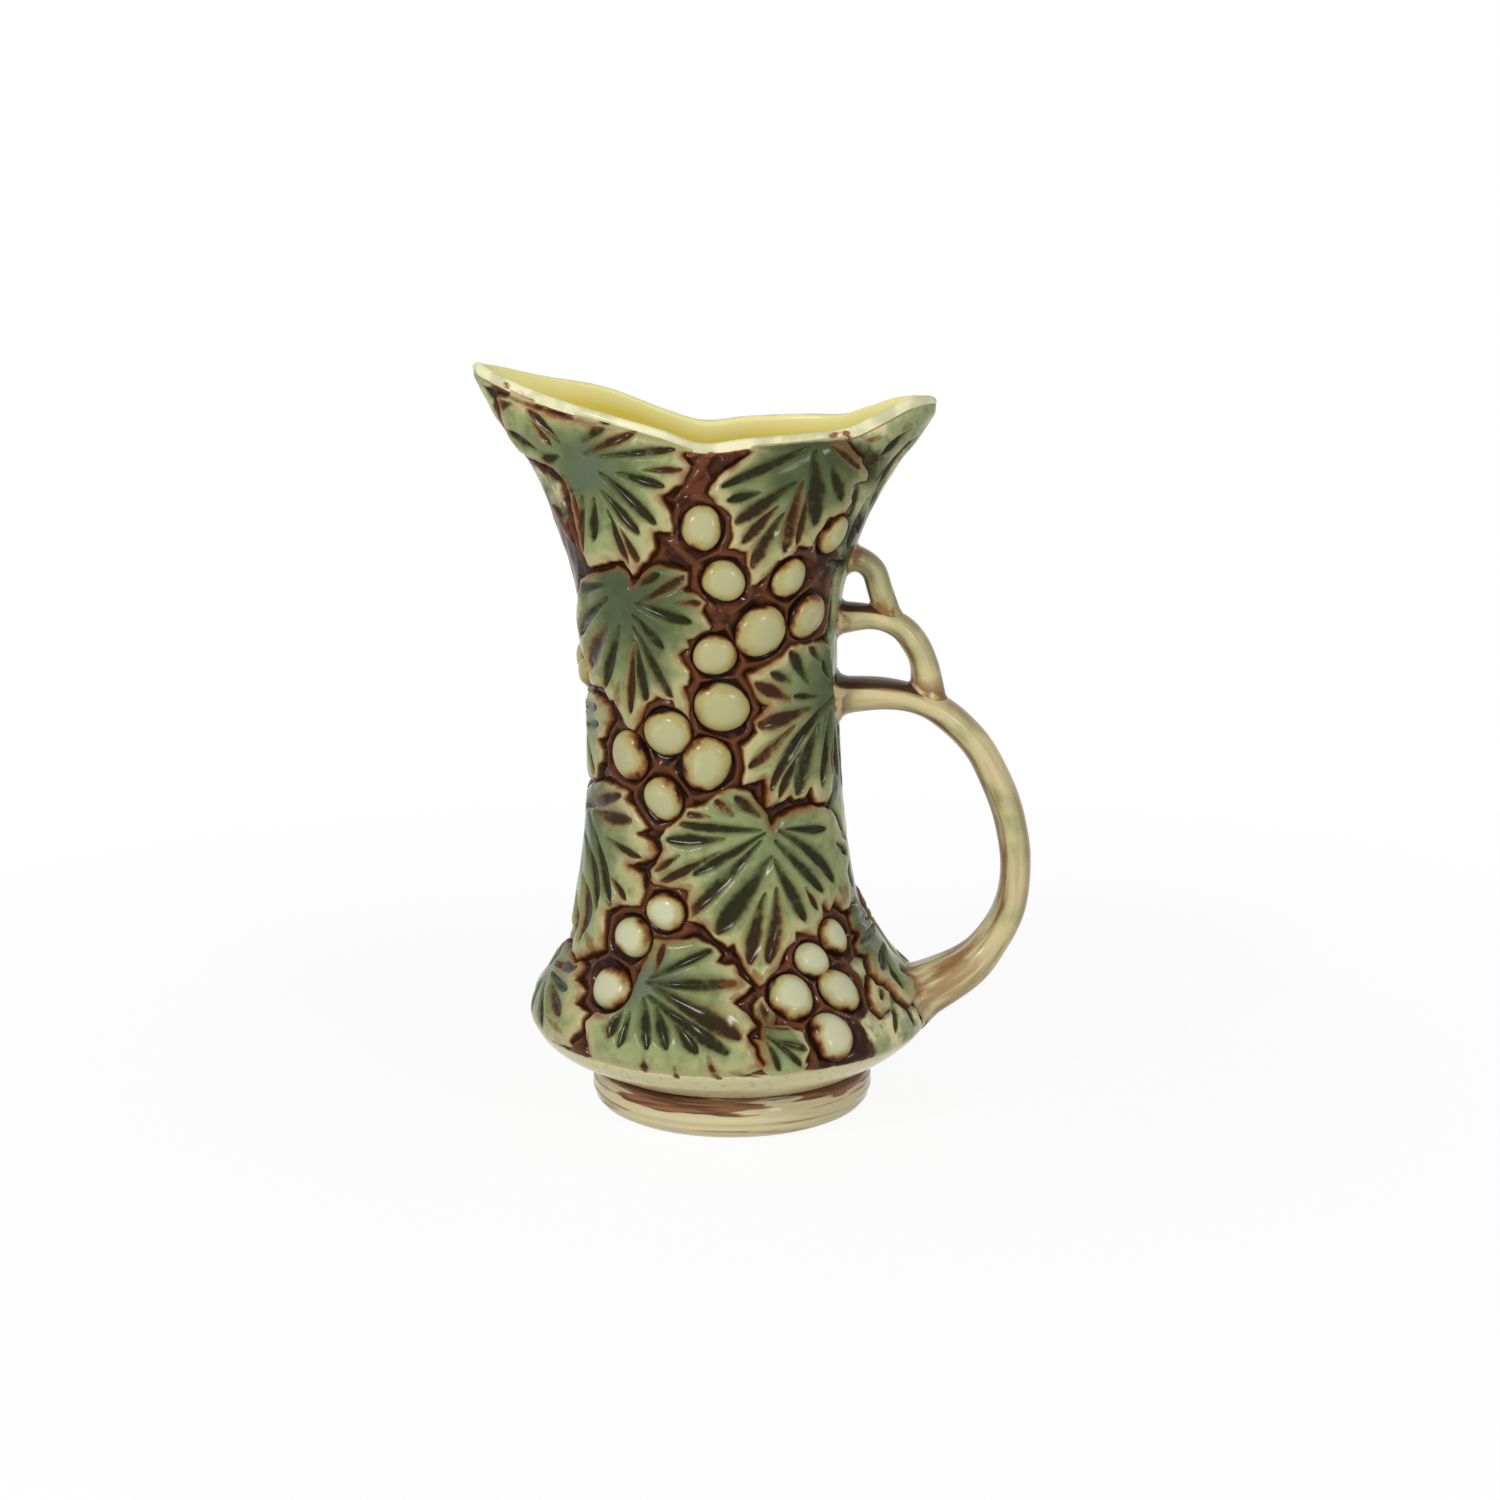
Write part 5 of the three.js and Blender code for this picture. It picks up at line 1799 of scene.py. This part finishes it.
@dataclass
class Studio:
    """Pale floor, soft light and the camera at the photograph's viewing angle."""

    wall: Wall
    camera_place: Triple = (5.6, -1000.0, 335.0)
    camera_pitch: float = 12.61
    lens: float = 80.29
    sensor: float = 36.0
    white: Colour = (1.0, 1.0, 1.0)
    floor_colour: Colour = (0.9, 0.9, 0.9)
    floor_roughness: float = 0.8
    floor_shine: float = 0.1
    floor_glow: float = 0.92
    floor_reach: float = 6.0
    clear_from: float = 0.12
    clear_to: float = 0.5
    sky_light: float = 0.33
    lamp_size: float = 0.22
    lamp_aim: Triple = (0.0, 0.0, 0.12)
    key_place: Triple = (-0.7, -1.0, 0.85)
    key_power: float = 10.0
    fill_place: Triple = (0.75, -1.0, 0.6)
    fill_power: float = 4.4

    def build(self) -> None:
        """Set up the camera, the floor and the lights."""
        scene = bpy.context.scene
        scene.view_settings.view_transform = "Standard"
        camera = bpy.data.cameras.new("camera")
        camera.lens = self.lens
        camera.sensor_width = self.sensor
        camera.clip_start = 0.01
        eye = bpy.data.objects.new("camera", camera)
        eye.location = self.wall.to_scene(np.array(self.camera_place)).tolist()
        eye.rotation_euler = (math.radians(90 - self.camera_pitch), 0, 0)
        scene.collection.objects.link(eye)
        scene.camera = eye
        self.floor()
        self.world()
        self.lamp("key", self.key_place, self.key_power)
        self.lamp("fill", self.fill_place, self.fill_power)

    def shown(self, nodes: Nodes) -> Level:
        """Tell what the camera sees from the light on the object.

        Args:
            nodes: The nodes of the floor or the world.

        Returns:
            1 for what is seen, directly or in a reflection, and 0 for light.
        """
        path = nodes.add("LightPath", {})
        total = Level(nodes, path.outputs["Is Camera Ray"])
        for name in ("Is Glossy Ray", "Is Transmission Ray"):
            total = nodes.sum("MAXIMUM", total, Level(nodes, path.outputs[name]))
        return total

    def floor(self) -> None:
        """Lay a wide pale floor that takes the shadow."""
        mesh = bpy.data.meshes.new("floor")
        far = self.floor_reach
        corners = [(-far, -far, 0), (far, -far, 0), (far, far, 0), (-far, far, 0)]
        mesh.from_pydata(corners, [], [(0, 1, 2, 3)])
        floor = bpy.data.objects.new("floor", mesh)
        bpy.context.scene.collection.objects.link(floor)
        paint = Sketch("floor_paint", self.floor_colour)
        shader = paint.tree.nodes["Principled BSDF"]
        paint.join(shader.inputs["Base Color"], paint.colour)
        shader.inputs["Roughness"].default_value = self.floor_roughness
        shader.inputs["Specular IOR Level"].default_value = self.floor_shine
        spot = paint.add("NewGeometry", {}).outputs["Position"]
        away = paint.add("VectorMath", {0: spot}, operation="LENGTH").outputs["Value"]
        ends = {"From Min": self.clear_from, "From Max": self.clear_to, "To Min": self.floor_glow}
        bright = paint.add("MapRange", {"Value": away, **ends}, interpolation_type="SMOOTHSTEP")
        share = self.shown(paint) * Level(paint, bright.outputs["Result"])
        glow = paint.add("Emission", {})
        blend = paint.add("MixShader", {0: share, 1: shader.outputs[0], 2: glow.outputs[0]})
        paint.join(paint.tree.nodes["Material Output"].inputs["Surface"], blend.outputs[0])
        mesh.materials.append(paint.made)

    def world(self) -> None:
        """Light the object evenly and show white behind it."""
        world = bpy.data.worlds.new("studio")
        bpy.context.scene.world = world
        world.use_nodes = True
        nodes = Nodes(world.node_tree)
        level = nodes.add("MapRange", {"Value": self.shown(nodes), "To Min": self.sky_light})
        sky = world.node_tree.nodes["Background"]
        nodes.join(sky.inputs["Color"], self.white)
        nodes.join(sky.inputs["Strength"], level.outputs[0])

    def lamp(self, name: str, where: Triple, power: float) -> None:
        """Hang one square soft light that faces the pitcher.

        Args:
            name: Name of the lamp.
            where: Its place in metres.
            power: Its power in watts.
        """
        light = bpy.data.lights.new(name, "AREA")
        light.size = self.lamp_size
        light.energy = power
        lamp = bpy.data.objects.new(name, light)
        lamp.location = where
        aim = np.array(self.lamp_aim) - np.array(where)
        flat = math.hypot(aim[0], aim[1])
        lamp.rotation_euler = (math.atan2(flat, -aim[2]), 0, math.atan2(aim[1], aim[0]) - math.pi / 2)
        bpy.context.scene.collection.objects.link(lamp)


@dataclass
class Handle:
    """The three arches of the handle."""

    wall: Wall

    def build(self) -> None:
        """Make the arches, each run into what it is luted to."""
        loop = HandleArch("handle_loop", self.wall,
                          ((30.4, 128.5), (46, 129), (57, 127), (66, 122), (75, 113), (81.5, 101),
                           (85.6, 89), (87.5, 76), (86.2, 63), (81, 52), (72.5, 42.5), (54.4, 32.5)),
                          (6, 4.5, 4.7, 4.9, 4.9, 5, 5.9, 9), (9, 7.6, 7.5, 7.5, 7.5, 7.8, 9, 13), 29.0)
        middle = HandleArch("handle_middle_arch", self.wall,
                            ((30.2, 152.5), (42, 152.8), (50, 150.5), (55.2, 145.5), (58.6, 138),
                             (60, 126)),
                            (5.5, 3.9, 4, 4.3, 4.5, 6), (8, 6.2, 6.2, 6.3, 6.3, 6), 17.0, 2.6)
        top = HandleArch("handle_top_arch", self.wall,
                         ((33.4, 171.2), (39, 170.2), (42.9, 167), (45, 161), (48, 151.5)),
                         (5, 3.9, 3.9, 4, 4.4), (7.5, 6, 5.8, 5.5, 5), 0.0, 2.6)
        loop.build(HandleGlaze("loop_glaze", 0.42, 90.0), [self.wall])
        middle.build(HandleGlaze("middle_arch_glaze", 0.62), [self.wall, loop])
        top.build(HandleGlaze("top_arch_glaze", 0.75), [self.wall, middle])


def main() -> None:
    """Build the pitcher's pieces in order."""
    logging.basicConfig(level=logging.INFO, format="%(name)s: %(message)s")
    wall = Wall()
    vine = Vine(wall)
    Studio(wall).build()
    Foot(wall).build(FootGlaze())
    Body(wall, vine.leaves, vine.grapes).build(BodyGlaze())
    Handle(wall).build()
    vine.build()


if __name__ == "__main__":
    main()
